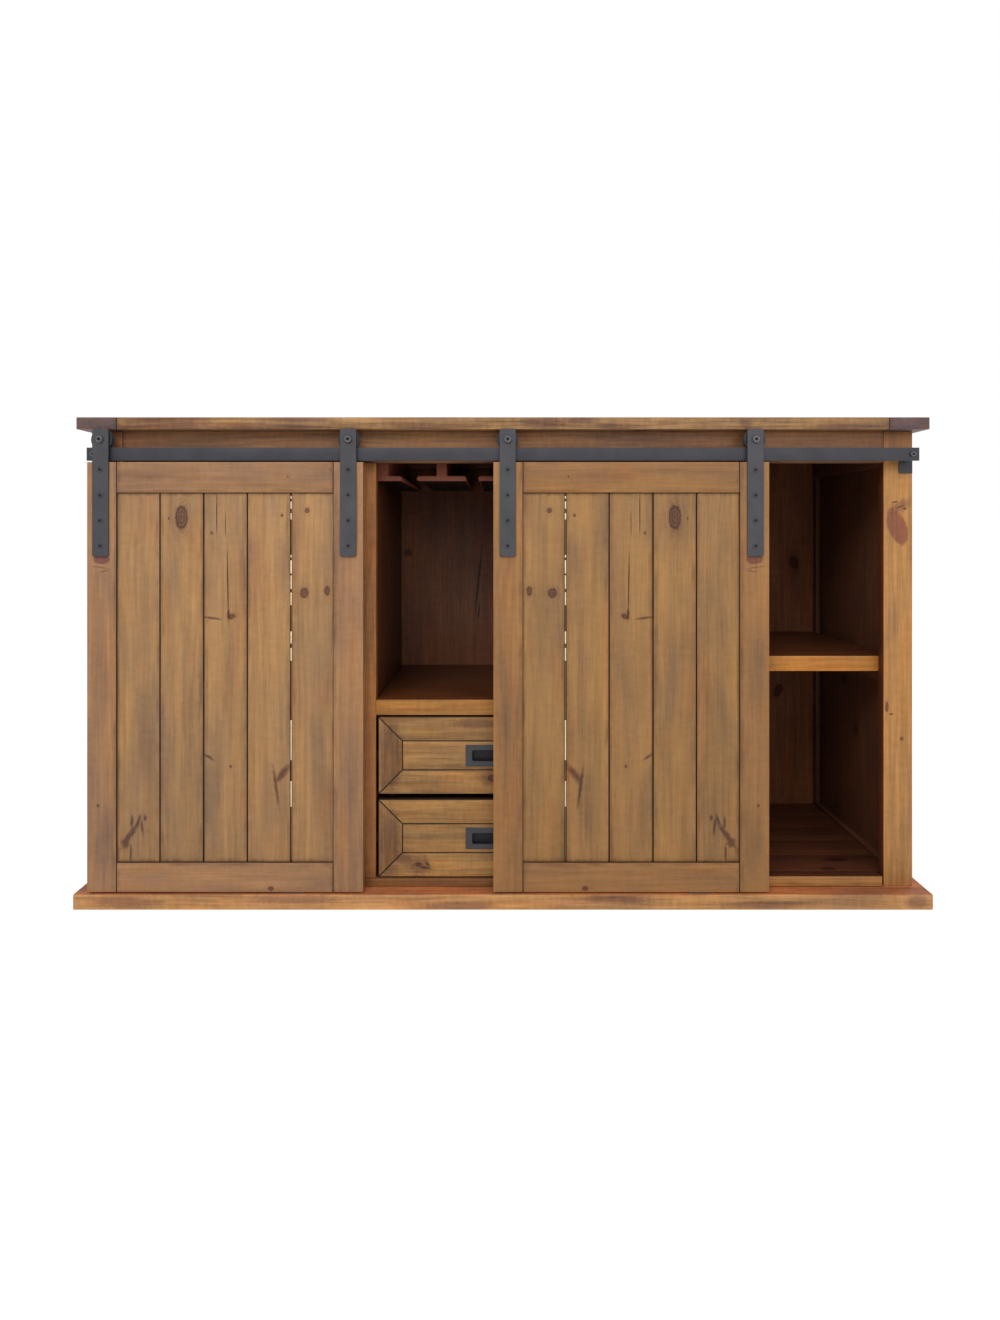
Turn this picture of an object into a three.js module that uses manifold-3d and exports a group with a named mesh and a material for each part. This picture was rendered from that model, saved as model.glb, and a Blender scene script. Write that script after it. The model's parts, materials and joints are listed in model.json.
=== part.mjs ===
// A rustic pine wine cabinet. Two plank doors hang from a flat steel track in front of a carcass with
// shelves at both sides and, in the middle bay, a stemware rack, a shelf and two drawers with flush pulls.
// Millimetres, +X to the right, +Y to the back, +Z up, the origin in the middle of the base on the floor.

import * as THREE from 'three';
import { mergeVertices } from 'three/addons/utils/BufferGeometryUtils.js';
import Module from 'manifold-3d';

const wasm = await Module();
wasm.setup();

// Overall size: the width of the top and the base board, the depth from the axle bolts' heads to the back
const cabinetWidth = 1600;
const cabinetDepth = 463;
const cabinetHeight = 918;

// Fits that all pieces share
const seatGap = 0.3;
const cutOverrun = 2;
const glueLap = 1;

// Boards and planks
const boardArris = 1.5;
const plankWidth = 80;
const plankGrooveDepth = 1.8;

// Top and base
const topThickness = 22.5;
const topOverhangFront = 24.5;
const topEndWidth = 75;
const sideOverhang = 20;
const baseThickness = 28.5;
const baseOverhangFront = 36.5;

// Carcass
const frameThickness = 22;
const faceStileWidth = 55;
const friezeHeight = 60;
const sideThickness = 22;
const partitionThickness = 22;
const partitionStileWidth = 45;
const partitionStileLip = 2;
const backThickness = 15;
const floorThickness = 19.5;
const floorFrontProud = 4;
const floorEndGap = 4;
const floorRebateDepth = 4.8;
const middleBayHalfWidth = 242.5;
const sideBattenHeight = 64;
const sideBattenThickness = 12;
const sideStripSize = 10;
const sideCornerStripDepth = 20;
const backRailHeight = 40;
const backRailThickness = 20;

// Shelves
const shelfThickness = 29.5;
const sideShelfClearHeight = 385.7;
const sideCleatHeight = 23;
const sideCleatThickness = 20;
const middleCleatHeight = 20;
const middleCleatThickness = 11;

// Stemware rack
const rackRailCount = 3;
const rackSlotWidth = 23.4;
const rackWallSlotWidth = 29;
const rackFlangeThickness = 12;
const rackStemWidth = 19;
const rackHeight = 94;
const wallRailWidth = 48.5;
const wallRailStemWidth = 22;

// Drawers
const drawerFrontHeight = 147.3;
const drawerFrontThickness = 20;
const drawerSideGap = 5;
const drawerGapBelow = 2.3;
const drawerGapBetween = 10.4;
const drawerGapAbove = 3.2;
const drawerFrameWidth = 46;
const drawerLineDepth = 1.5;
const drawerBackGap = 27.4;
const drawerBoxLift = 15;
const drawerBoxDrop = 22;
const drawerBoxWall = 12;
const drawerBoxFloor = 10;
const drawerRunnerSpace = 12.5;
const runnerHeight = 20;
const runnerLift = 40;
const runnerGrooveDepth = 6;
const runnerSideClearance = 0.5;
const runnerLowClearance = 1;
const runnerFrontSetback = 4;
const runnerBackGap = 31.4;

// Flush pulls
const pullWidth = 142;
const pullHeight = 41;
const pullFlangeThickness = 1.5;
const pullFlangeRadius = 1.5;
const pullRecessWidth = 116;
const pullRecessHeight = 20;
const pullRecessRadius = 3;
const pullRecessDepth = 12;
const pullWall = 1.2;

// Sliding doors
const doorWidth = 514;
const doorThickness = 20;
const doorBehindGap = 13;
const doorTrackGap = 3;
const doorStileWidth = 55;
const doorTopRailHeight = 57.5;
const doorBottomRailHeight = 55.5;
const doorPlankThickness = 12;
const doorTongue = 8;
const leftDoorInset = 4.5;
const rightDoorStart = -17.8;

// Track, wheels and straps
const barHeight = 24.5;
const barThickness = 5;
const barEndInset = 1.5;
const barBoltInset = 12.5;
const wheelRootRadius = 14;
const wheelFlangeHeight = 6;
const wheelFlangeWidth = 2;
const wheelSideClearance = 0.5;
const wheelArris = 0.6;
const wheelTopGap = 0.5;
const axleRadius = 4;
const axleClearance = 0.3;
const axleHeadRadius = 6.5;
const axleHeadHeight = 5;
const axleHeadArris = 0.6;
const axleWasherRadius = 7;
const axleWasherThickness = 1.4;
const axleNutRadius = 7;
const axleNutThickness = 5;
const axleTail = 1.5;
const strapWidth = 30;
const strapThickness = 4;
const strapTopGap = 0.5;
const strapOnDoor = 176;
const strapInset = 26.5;
const strapScrewHoleRadius = 2.6;
const strapScrewFirst = 12;
const strapScrewPitch = 47.2;
const strapScrewCount = 4;

// Track brackets and door guides
const bracketWidth = 25;
const bracketHeight = 45;
const bracketThickness = 3;
const bracketTopGap = 1;
const spacerRadius = 8;
const barBoltRadius = 3;
const barBoltHeadRadius = 5;
const barBoltHeadHeight = 3.5;
const guideLength = 40;
const guidePlateWidth = 18;
const guidePlateThickness = 2;
const guideFinThickness = 3;
const guideFinHeight = 12;
const guidePlateClearance = 0.7;
const guideFinSideClearance = 1;
const guideFinTopClearance = 1;
const guideFromStile = 75;

// How many flat sides stand for a round one
const wheelSides = 24;
const boltSides = 16;
const holeSides = 6;
const cornerSides = 3;

// Places that follow from the sizes above. From the front: bolt heads, straps, doors, face frame.
const backY = cabinetDepth / 2;
const strapFront = -cabinetDepth / 2 + axleHeadHeight + seatGap;
const strapBack = strapFront + strapThickness;
const doorFrontY = strapBack + seatGap;
const faceY = doorFrontY + doorThickness + doorBehindGap;
const baseFrontY = faceY - baseOverhangFront;
const behindFrame = faceY + frameThickness + seatGap;
const backFace = backY - backThickness;
const beforeBack = backFace - seatGap;
const carcassHalf = cabinetWidth / 2 - sideOverhang;
const sideInner = carcassHalf - sideThickness;
const frameInner = carcassHalf - faceStileWidth;
const topUnder = cabinetHeight - topThickness;
const carcassLow = baseThickness + seatGap;
const carcassHigh = topUnder - seatGap;
const floorTop = carcassLow + floorThickness;
const floorRebateTop = floorTop - floorRebateDepth;
const onFloor = floorTop + seatGap;
const friezeLow = carcassHigh - friezeHeight;
const partitionInner = middleBayHalfWidth + partitionStileLip;
const partitionOuter = partitionInner + partitionThickness;
const lowerDrawerLow = floorRebateTop + drawerGapBelow;
const upperDrawerLow = lowerDrawerLow + drawerFrontHeight + drawerGapBetween;
const middleShelfLow = upperDrawerLow + drawerFrontHeight + drawerGapAbove;
const sideShelfLow = floorTop + sideShelfClearHeight;
const rackFlangesWidth = 2 * (partitionInner - seatGap - wallRailWidth - rackWallSlotWidth);
const rackFlangeWidth = (rackFlangesWidth - (rackRailCount - 1) * rackSlotWidth) / rackRailCount;
const rackPitch = rackFlangeWidth + rackSlotWidth;

const wheelFlangeRadius = wheelRootRadius + wheelFlangeHeight;
const wheelWidth = barThickness + 2 * (wheelSideClearance + wheelFlangeWidth);
const axleZ = topUnder - wheelTopGap - wheelFlangeRadius;
const barTop = axleZ - wheelRootRadius - seatGap;
const barLow = barTop - barHeight;
const doorLow = baseThickness + seatGap + guidePlateThickness + guidePlateClearance;
const doorHeight = barLow - doorTrackGap - doorLow;
const leftDoorStart = leftDoorInset - carcassHalf;
const doorPlankSetback = (doorThickness - doorPlankThickness) / 2;
const wheelFront = strapBack + seatGap + axleWasherThickness + seatGap;
const barY = wheelFront + wheelWidth / 2;

// Colours and finishes
const wood = (color) => new THREE.MeshStandardMaterial({ color, roughness: 0.55, metalness: 0 });
const pine = wood(0xa5753f);
const doorPine = wood(0x9c7142);
const plankPine = wood(0x94693b);
const basePine = wood(0xa56a3a);
const insidePine = wood(0x6b4426);
const endGrain = wood(0x54413a);
const rackWood = wood(0x6e3f2b);
const darkSteel = new THREE.MeshStandardMaterial({ color: 0x45464b, roughness: 0.5, metalness: 0.7 });
const boltSteel = new THREE.MeshStandardMaterial({ color: 0x5a5a60, roughness: 0.4, metalness: 0.8 });

const xAxis = new THREE.Vector3(1, 0, 0);
const yAxis = new THREE.Vector3(0, 1, 0);
const zAxis = new THREE.Vector3(0, 0, 1);

// Names a shape as one piece and puts its own origin at x, y, z.
function piece(name, geometry, material, x, y, z) {
  const mesh = new THREE.Mesh(geometry, material.clone());
  mesh.name = name;
  mesh.position.set(x, y, z);
  return mesh;
}

// Turns what was drawn across X and run up Z, so that it lies across Y and runs along X.
function laidAlongX(geometry) {
  return geometry.applyMatrix4(new THREE.Matrix4().makeBasis(yAxis, zAxis, xAxis));
}

// Turns what was drawn in X and Y and run up Z, so that its Y points up and it runs to the back.
function laidAlongY(geometry, length) {
  geometry.applyMatrix4(new THREE.Matrix4().makeBasis(xAxis, zAxis, yAxis.clone().negate()));
  return geometry.translate(0, length, 0);
}

function outline(points) {
  return new THREE.Shape(points.map(([x, y]) => new THREE.Vector2(x, y)));
}

function extruded(shape, length) {
  return new THREE.ExtrudeGeometry(shape, { depth: length, bevelEnabled: false, curveSegments: cornerSides });
}

// A plain block from its low corner, for what is joined or cut.
function block(width, depth, height, x = 0, y = 0, z = 0) {
  const geometry = new THREE.BoxGeometry(width, depth, height);
  return geometry.translate(x + width / 2, y + depth / 2, z + height / 2);
}

// A planed board from its low corner, with the arris taken off all its edges.
function board(width, depth, height, arris = boardArris) {
  const section = outline([
    [arris, 0], [width - arris, 0], [width, arris], [width, depth - arris],
    [width - arris, depth], [arris, depth], [0, depth - arris], [0, arris],
  ]);
  const geometry = new THREE.ExtrudeGeometry(section, {
    depth: height - 2 * arris,
    bevelEnabled: true,
    bevelThickness: arris,
    bevelSize: arris,
    bevelOffset: -arris,
    bevelSegments: 1,
  });
  return geometry.translate(0, 0, arris);
}

// Planks side by side across X, running up Z, with a V between each two on one face or on both.
// The planks share the width between the two tongues, which are plain.
function plankPanel(width, thickness, length, faces = { front: true, back: true }, tongue = 0) {
  const arris = boardArris;
  const depth = plankGrooveDepth;
  const count = Math.max(1, Math.round((width - 2 * tongue) / plankWidth));
  const pitch = (width - 2 * tongue) / count;
  const joints = Array.from({ length: count - 1 }, (_, index) => tongue + pitch * (index + 1));
  const front = faces.front ? joints.flatMap((x) => [[x - depth, 0], [x, depth], [x + depth, 0]]) : [];
  const back = faces.back ? joints.reverse().flatMap((x) => [
    [x + depth, thickness], [x, thickness - depth], [x - depth, thickness],
  ]) : [];
  return extruded(outline([
    [arris, 0], ...front, [width - arris, 0], [width, arris], [width, thickness - arris],
    [width - arris, thickness], ...back, [arris, thickness], [0, thickness - arris], [0, arris],
  ]), length);
}

function roundedRectangle(width, height, radius) {
  const shape = new THREE.Shape();
  const right = width / 2 - radius;
  const top = height / 2 - radius;
  shape.absarc(right, top, radius, 0, Math.PI / 2);
  shape.absarc(-right, top, radius, Math.PI / 2, Math.PI);
  shape.absarc(-right, -top, radius, Math.PI, Math.PI * 3 / 2);
  shape.absarc(right, -top, radius, Math.PI * 3 / 2, Math.PI * 2);
  return shape;
}

// A turned solid about the Y axis. Each point is a radius and a place along Y.
function turned(points, sides) {
  return new THREE.LatheGeometry(points.map(([radius, y]) => new THREE.Vector2(radius, y)), sides);
}

// A round bar along Y from y = 0.
function roundBar(radius, length, sides) {
  return new THREE.CylinderGeometry(radius, radius, length, sides).translate(0, length / 2, 0);
}

function solidOf(geometry) {
  const bare = geometry.clone();
  bare.deleteAttribute('normal');
  bare.deleteAttribute('uv');
  const merged = mergeVertices(bare);
  return new wasm.Manifold(new wasm.Mesh({
    numProp: 3,
    vertProperties: merged.getAttribute('position').array,
    triVerts: Uint32Array.from(merged.getIndex().array),
  }));
}

function geometryOf(solid) {
  const mesh = solid.getMesh();
  const shared = new THREE.BufferGeometry();
  shared.setAttribute('position', new THREE.BufferAttribute(mesh.vertProperties, 3));
  shared.setIndex(new THREE.BufferAttribute(mesh.triVerts, 1));
  const geometry = shared.toNonIndexed();
  geometry.computeVertexNormals();
  return geometry;
}

function join(first, ...others) {
  return geometryOf(others.reduce((sum, other) => sum.add(solidOf(other)), solidOf(first)));
}

function cut(body, ...tools) {
  return geometryOf(tools.reduce((left, tool) => left.subtract(solidOf(tool)), solidOf(body)));
}

// Top: planks along X between two end boards whose grain runs to the back
function makeTop() {
  const depth = topOverhangFront + backY - faceY;
  const y = faceY - topOverhangFront;
  const panelHalf = cabinetWidth / 2 - topEndWidth - seatGap;
  const planks = laidAlongX(plankPanel(depth, topThickness, 2 * panelHalf, { back: true }));
  const end = board(topEndWidth, depth, topThickness);
  return [
    piece('top_panel', planks, pine, -panelHalf, y, topUnder),
    piece('top_end_left', end, endGrain, -cabinetWidth / 2, y, topUnder),
    piece('top_end_right', end.clone(), endGrain, cabinetWidth / 2 - topEndWidth, y, topUnder),
  ];
}

function makeBase() {
  const base = board(cabinetWidth, backY - baseFrontY, baseThickness);
  return [piece('base_board', base, basePine, -cabinetWidth / 2, baseFrontY, 0)];
}

// Face frame: two end stiles, two partition stiles in the floor's rebate and the frieze rail behind the track
function makeFaceFrame() {
  const endHeight = carcassHigh - carcassLow;
  const innerLow = floorRebateTop + seatGap;
  const innerHeight = friezeLow - seatGap - innerLow;
  const friezeHalf = frameInner - seatGap;
  const endStile = board(faceStileWidth, frameThickness, endHeight);
  const innerStile = board(partitionStileWidth, frameThickness, innerHeight);
  const frieze = board(2 * friezeHalf, frameThickness, friezeHeight);
  const innerLeft = -middleBayHalfWidth - partitionStileWidth;
  return [
    piece('face_stile_left', endStile, pine, -carcassHalf, faceY, carcassLow),
    piece('face_stile_right', endStile.clone(), pine, frameInner, faceY, carcassLow),
    piece('partition_stile_left', innerStile, pine, innerLeft, faceY, innerLow),
    piece('partition_stile_right', innerStile.clone(), pine, middleBayHalfWidth, faceY, innerLow),
    piece('frieze_rail', frieze, pine, -friezeHalf, faceY, friezeLow),
  ];
}

// A side: upright planks with the battens glued inside, drawn for the right-hand side
// from its inner face at x = 0, and mirrored for the left by a half turn about Z
function sidePanel(isRight) {
  const depth = backY - behindFrame;
  const height = carcassHigh - carcassLow;
  const inside = beforeBack - behindFrame;
  const planks = plankPanel(depth, sideThickness, height, { front: true });
  planks.rotateZ(Math.PI / 2).translate(sideThickness, 0, 0);
  const stripLow = onFloor - carcassLow;
  const battenLow = height - sideBattenHeight;
  const cleatTop = sideShelfLow - seatGap - carcassLow;
  const lap = glueLap;
  const solid = join(
    planks,
    block(sideBattenThickness + lap, inside, sideBattenHeight, -sideBattenThickness, 0, battenLow),
    block(sideStripSize + lap, inside, sideStripSize, -sideStripSize, 0, stripLow),
    block(sideStripSize + lap, sideCornerStripDepth, height - stripLow,
      -sideStripSize, inside - sideCornerStripDepth, stripLow),
    block(sideCleatThickness + lap, inside, sideCleatHeight,
      -sideCleatThickness, 0, cleatTop - sideCleatHeight),
  );
  return isRight ? solid : mirroredInX(solid);
}

function mirroredInX(geometry) {
  const mirrored = geometry.clone().scale(-1, 1, 1);
  const position = mirrored.getAttribute('position');
  const order = [];
  for (let corner = 0; corner < position.count; corner += 3) {
    order.push(corner, corner + 2, corner + 1);
  }
  mirrored.setIndex(order);
  const flat = mirrored.toNonIndexed();
  flat.computeVertexNormals();
  return flat;
}

function makeSides() {
  return [
    piece('side_panel_left', sidePanel(false), pine, -sideInner, behindFrame, carcassLow),
    piece('side_panel_right', sidePanel(true), pine, sideInner, behindFrame, carcassLow),
  ];
}

// A partition with its shelf cleats, drawn for the right-hand side from the middle bay's wall at x = 0
function partition(isRight) {
  const depth = beforeBack - behindFrame;
  const height = carcassHigh - onFloor;
  const sideTop = sideShelfLow - seatGap - onFloor;
  const middleTop = middleShelfLow - seatGap - onFloor;
  const solid = join(
    board(partitionThickness, depth, height),
    block(sideCleatThickness + glueLap, depth, sideCleatHeight,
      partitionThickness - glueLap, 0, sideTop - sideCleatHeight),
    block(middleCleatThickness + glueLap, depth, middleCleatHeight,
      -middleCleatThickness, 0, middleTop - middleCleatHeight),
  );
  return isRight ? solid : mirroredInX(solid);
}

function makePartitions() {
  return [
    piece('partition_left', partition(false), insidePine, -partitionInner, behindFrame, onFloor),
    piece('partition_right', partition(true), insidePine, partitionInner, behindFrame, onFloor),
  ];
}

// Back: upright planks with a rail under the top
function makeBack() {
  const half = sideInner - seatGap;
  const height = carcassHigh - carcassLow;
  const railHalf = partitionInner - seatGap;
  const solid = join(
    plankPanel(2 * half, backThickness, height, { back: true }),
    block(2 * railHalf, backRailThickness + glueLap, backRailHeight,
      half - railHalf, -backRailThickness, height - backRailHeight),
  );
  return [piece('back_panel', solid, insidePine, -half, backFace, carcassLow)];
}

// Floor: planks along X, notched round the end stiles, with a rebate for the drawers and partition stiles
function makeFloor() {
  const half = sideInner - seatGap;
  const front = faceY - floorFrontProud;
  const notchWidth = half - frameInner + floorEndGap;
  const notchDepth = behindFrame - front;
  const notch = () => block(
    notchWidth + cutOverrun, notchDepth + cutOverrun, floorThickness + 2 * cutOverrun,
    -cutOverrun, -cutOverrun, -cutOverrun,
  );
  const rebateHalf = middleBayHalfWidth + partitionStileWidth + seatGap;
  const solid = cut(
    laidAlongX(plankPanel(beforeBack - front, floorThickness, 2 * half, { back: true })),
    notch(),
    notch().translate(2 * half - notchWidth + cutOverrun, 0, 0),
    block(2 * rebateHalf, notchDepth + cutOverrun, floorRebateDepth + cutOverrun,
      half - rebateHalf, -cutOverrun, floorThickness - floorRebateDepth),
  );
  return [piece('floor_panel', solid, insidePine, -half, front, carcassLow)];
}

function makeShelves() {
  const middleHalf = middleBayHalfWidth - seatGap;
  const sideNear = partitionOuter + seatGap;
  const sideFar = sideInner - sideStripSize - seatGap;
  const middleShelf = board(2 * middleHalf, beforeBack - faceY, shelfThickness);
  const sideShelf = board(sideFar - sideNear, beforeBack - behindFrame, shelfThickness);
  return [
    piece('center_shelf', middleShelf, pine, -middleHalf, faceY, middleShelfLow),
    piece('side_shelf_left', sideShelf, pine, -sideFar, behindFrame, sideShelfLow),
    piece('side_shelf_right', sideShelf.clone(), pine, sideNear, behindFrame, sideShelfLow),
  ];
}

// Stemware rack: T rails with rounded flanges, and an L rail at each partition
function tRailSection() {
  const round = rackFlangeThickness / 2;
  const flange = rackFlangeWidth / 2 - round;
  const stem = rackStemWidth / 2;
  const shape = new THREE.Shape();
  shape.moveTo(-flange, 0);
  shape.lineTo(flange, 0);
  shape.absarc(flange, round, round, -Math.PI / 2, Math.PI / 2);
  shape.lineTo(stem, rackFlangeThickness);
  shape.lineTo(stem, rackHeight);
  shape.lineTo(-stem, rackHeight);
  shape.lineTo(-stem, rackFlangeThickness);
  shape.lineTo(-flange, rackFlangeThickness);
  shape.absarc(-flange, round, round, Math.PI / 2, Math.PI * 3 / 2);
  return shape;
}

// The wall at x = 0 and the flange to the side that sign gives
function wallRailSection(sign) {
  const round = rackFlangeThickness / 2;
  const flange = wallRailWidth - round;
  const shape = new THREE.Shape();
  shape.moveTo(0, 0);
  shape.lineTo(sign * flange, 0);
  shape.absarc(sign * flange, round, round, -Math.PI / 2, Math.PI / 2, sign < 0);
  shape.lineTo(sign * wallRailStemWidth, rackFlangeThickness);
  shape.lineTo(sign * wallRailStemWidth, rackHeight);
  shape.lineTo(0, rackHeight);
  return shape;
}

function makeRack() {
  const length = beforeBack - backRailThickness - behindFrame;
  const z = carcassHigh - rackHeight;
  const wall = partitionInner - seatGap;
  const rail = (name, shape, x) => {
    const solid = laidAlongY(extruded(shape, length), length);
    return piece(name, solid, rackWood, x, behindFrame, z);
  };
  const rails = Array.from({ length: rackRailCount }, (_, index) => (
    rail(`rack_rail_${index + 1}`, tRailSection(), (index - (rackRailCount - 1) / 2) * rackPitch)
  ));
  return [
    rail('rack_wall_rail_left', wallRailSection(1), -wall),
    ...rails,
    rail('rack_wall_rail_right', wallRailSection(-1), wall),
  ];
}

// Drawer runners: a strip on each partition that fits the groove in the drawer's side
function makeRunners() {
  const width = drawerRunnerSpace - seatGap + runnerGrooveDepth - runnerSideClearance;
  const wall = partitionInner - seatGap;
  const y = behindFrame + runnerFrontSetback;
  const length = beforeBack - runnerBackGap - y;
  const runners = [];
  for (const [level, drawerLow] of [['upper', upperDrawerLow], ['lower', lowerDrawerLow]]) {
    const z = drawerLow + drawerBoxLift + runnerLift;
    for (const [hand, x] of [['left', -wall], ['right', wall - width]]) {
      const strip = board(width, length, runnerHeight);
      runners.push(piece(`drawer_runner_${level}_${hand}`, strip, insidePine, x, y, z));
    }
  }
  return runners;
}

// A V line that runs along X, centred on the origin, in a face that looks towards -Y
function lineCutter(length) {
  const side = drawerLineDepth * Math.SQRT2;
  return new THREE.BoxGeometry(length, side, side).rotateX(Math.PI / 4);
}

// Drawer front: a mitred frame of four boards round a middle board, with V lines along the joints
function drawerFront(width) {
  const height = drawerFrontHeight;
  const inset = drawerFrameWidth;
  const cutters = [];
  for (const z of [inset, height - inset]) {
    cutters.push(lineCutter(width - 2 * inset).translate(width / 2, 0, z));
  }
  for (const x of [inset, width - inset]) {
    cutters.push(lineCutter(height - 2 * inset).rotateY(Math.PI / 2).translate(x, 0, height / 2));
  }
  for (const [x, sideways] of [[inset / 2, 1], [width - inset / 2, -1]]) {
    for (const [z, upwards] of [[inset / 2, 1], [height - inset / 2, -1]]) {
      const mitre = lineCutter(inset * Math.SQRT2).rotateY(-sideways * upwards * Math.PI / 4);
      cutters.push(mitre.translate(x, 0, z));
    }
  }
  const pocket = extruded(roundedRectangle(
    pullRecessWidth + 2 * (pullWall + seatGap),
    pullRecessHeight + 2 * (pullWall + seatGap),
    pullRecessRadius + pullWall + seatGap,
  ), pullRecessDepth + cutOverrun);
  const depth = pullRecessDepth + cutOverrun;
  cutters.push(laidAlongY(pocket, depth).translate(width / 2, -cutOverrun, height / 2));
  return cut(board(width, drawerFrontThickness, height), ...cutters);
}

// Drawer box: an open tray with a groove outside each side for its runner
function drawerBox(width, length, height) {
  const wall = drawerBoxWall;
  const grooveHeight = runnerHeight + seatGap + runnerLowClearance;
  const grooveLow = runnerLift - runnerLowClearance;
  const groove = (x) => block(
    runnerGrooveDepth + cutOverrun, length + 2 * cutOverrun, grooveHeight,
    x, -cutOverrun, grooveLow,
  );
  return cut(
    board(width, length, height),
    block(width - 2 * wall, length - 2 * wall, height, wall, wall, drawerBoxFloor),
    groove(-cutOverrun),
    groove(width - runnerGrooveDepth),
  );
}

// Flush pull: a flange with a cup behind it, centred on x and z, its flange's back at y = 0
function flushPull() {
  const cupDepth = pullRecessDepth - seatGap;
  const flange = extruded(roundedRectangle(pullWidth, pullHeight, pullFlangeRadius), pullFlangeThickness);
  const cup = extruded(roundedRectangle(
    pullRecessWidth + 2 * pullWall, pullRecessHeight + 2 * pullWall, pullRecessRadius + pullWall,
  ), cupDepth + glueLap);
  const recessDepth = pullFlangeThickness + cutOverrun + cupDepth - pullWall;
  const recess = extruded(
    roundedRectangle(pullRecessWidth, pullRecessHeight, pullRecessRadius), recessDepth,
  );
  return cut(
    join(
      laidAlongY(flange, pullFlangeThickness).translate(0, -pullFlangeThickness, 0),
      laidAlongY(cup, cupDepth + glueLap).translate(0, -glueLap, 0),
    ),
    laidAlongY(recess, recessDepth).translate(0, -pullFlangeThickness - cutOverrun, 0),
  );
}

function makeDrawer(level, low) {
  const half = middleBayHalfWidth - drawerSideGap;
  const boxHalf = partitionInner - drawerRunnerSpace;
  const boxY = drawerFrontThickness + seatGap;
  const boxLength = beforeBack - drawerBackGap - faceY - boxY;
  const boxHeight = drawerFrontHeight - drawerBoxLift - drawerBoxDrop;
  const box = drawerBox(2 * boxHalf, boxLength, boxHeight);
  const drawer = new THREE.Group();
  drawer.position.set(0, faceY, low);
  drawer.add(
    piece(`${level}_drawer_front`, drawerFront(2 * half), pine, -half, 0, 0),
    piece(`${level}_drawer_box`, box, insidePine, -boxHalf, boxY, drawerBoxLift),
    piece(`${level}_drawer_pull`, flushPull(), darkSteel, 0, -seatGap, drawerFrontHeight / 2),
  );
  return drawer;
}

// Door leaf, drawn from its low left corner with its front face at y = 0
function doorStile(grooveOnRight) {
  const depth = doorTongue + seatGap;
  const low = doorBottomRailHeight - depth;
  const high = doorHeight - doorTopRailHeight + depth;
  const grooveX = grooveOnRight ? doorStileWidth - depth : -cutOverrun;
  const groove = block(
    depth + cutOverrun, doorPlankThickness + 2 * seatGap, high - low,
    grooveX, doorPlankSetback - seatGap, low,
  );
  return cut(board(doorStileWidth, doorThickness, doorHeight), groove);
}

function doorRail(height, isTop) {
  const length = doorWidth - 2 * (doorStileWidth + seatGap);
  const depth = doorTongue + seatGap;
  const grooveZ = isTop ? -cutOverrun : height - depth;
  const plankGroove = block(
    length + 2 * cutOverrun, doorPlankThickness + 2 * seatGap, depth + cutOverrun,
    -cutOverrun, doorPlankSetback - seatGap, grooveZ,
  );
  const guideWidth = guideFinThickness + 2 * guideFinSideClearance;
  const finTop = baseThickness + seatGap + guidePlateThickness + guideFinHeight;
  const guideGroove = block(
    length + 2 * cutOverrun, guideWidth, finTop + guideFinTopClearance - doorLow + cutOverrun,
    -cutOverrun, (doorThickness - guideWidth) / 2, -cutOverrun,
  );
  const rail = board(length, doorThickness, height);
  return isTop ? cut(rail, plankGroove) : cut(rail, plankGroove, guideGroove);
}

// Strap: flat steel with a hole for the axle and a row of screw holes, its low left corner at the origin
function doorStrap(height, axleHeight) {
  const shape = outline([[0, 0], [strapWidth, 0], [strapWidth, height], [0, height]]);
  const addHole = (z, radius) => {
    const hole = new THREE.Path();
    hole.absarc(strapWidth / 2, z, radius, 0, Math.PI * 2, true);
    shape.holes.push(hole);
  };
  addHole(axleHeight, axleRadius + axleClearance);
  for (let index = 0; index < strapScrewCount; index += 1) {
    addHole(strapOnDoor - strapScrewFirst - strapScrewPitch * index, strapScrewHoleRadius);
  }
  const solid = new THREE.ExtrudeGeometry(shape, {
    depth: strapThickness, bevelEnabled: false, curveSegments: holeSides,
  });
  return laidAlongY(solid, strapThickness);
}

// Grooved wheel about Y, its front face at y = 0
function trackWheel() {
  const bore = axleRadius + axleClearance;
  const rim = wheelFlangeRadius;
  const flange = wheelFlangeWidth;
  return turned([
    [bore, 0], [rim - wheelArris, 0], [rim, wheelArris], [rim, flange], [wheelRootRadius, flange],
    [wheelRootRadius, wheelWidth - flange], [rim, wheelWidth - flange], [rim, wheelWidth - wheelArris],
    [rim - wheelArris, wheelWidth], [bore, wheelWidth], [bore, 0],
  ], wheelSides);
}

// Axle bolt with its washer and nut, about Y, from the strap's front face at y = 0
function axleBolt() {
  const head = -seatGap - axleHeadHeight;
  const washer = strapThickness + seatGap;
  const nut = washer + axleWasherThickness + seatGap + wheelWidth + seatGap;
  return turned([
    [0, head], [axleHeadRadius - axleHeadArris, head], [axleHeadRadius, head + axleHeadArris],
    [axleHeadRadius, -seatGap], [axleRadius, -seatGap], [axleRadius, washer],
    [axleWasherRadius, washer], [axleWasherRadius, washer + axleWasherThickness],
    [axleRadius, washer + axleWasherThickness], [axleRadius, nut], [axleNutRadius, nut],
    [axleNutRadius, nut + axleNutThickness], [axleRadius, nut + axleNutThickness],
    [axleRadius, nut + axleNutThickness + axleTail], [0, nut + axleNutThickness + axleTail],
  ], boltSides);
}

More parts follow.
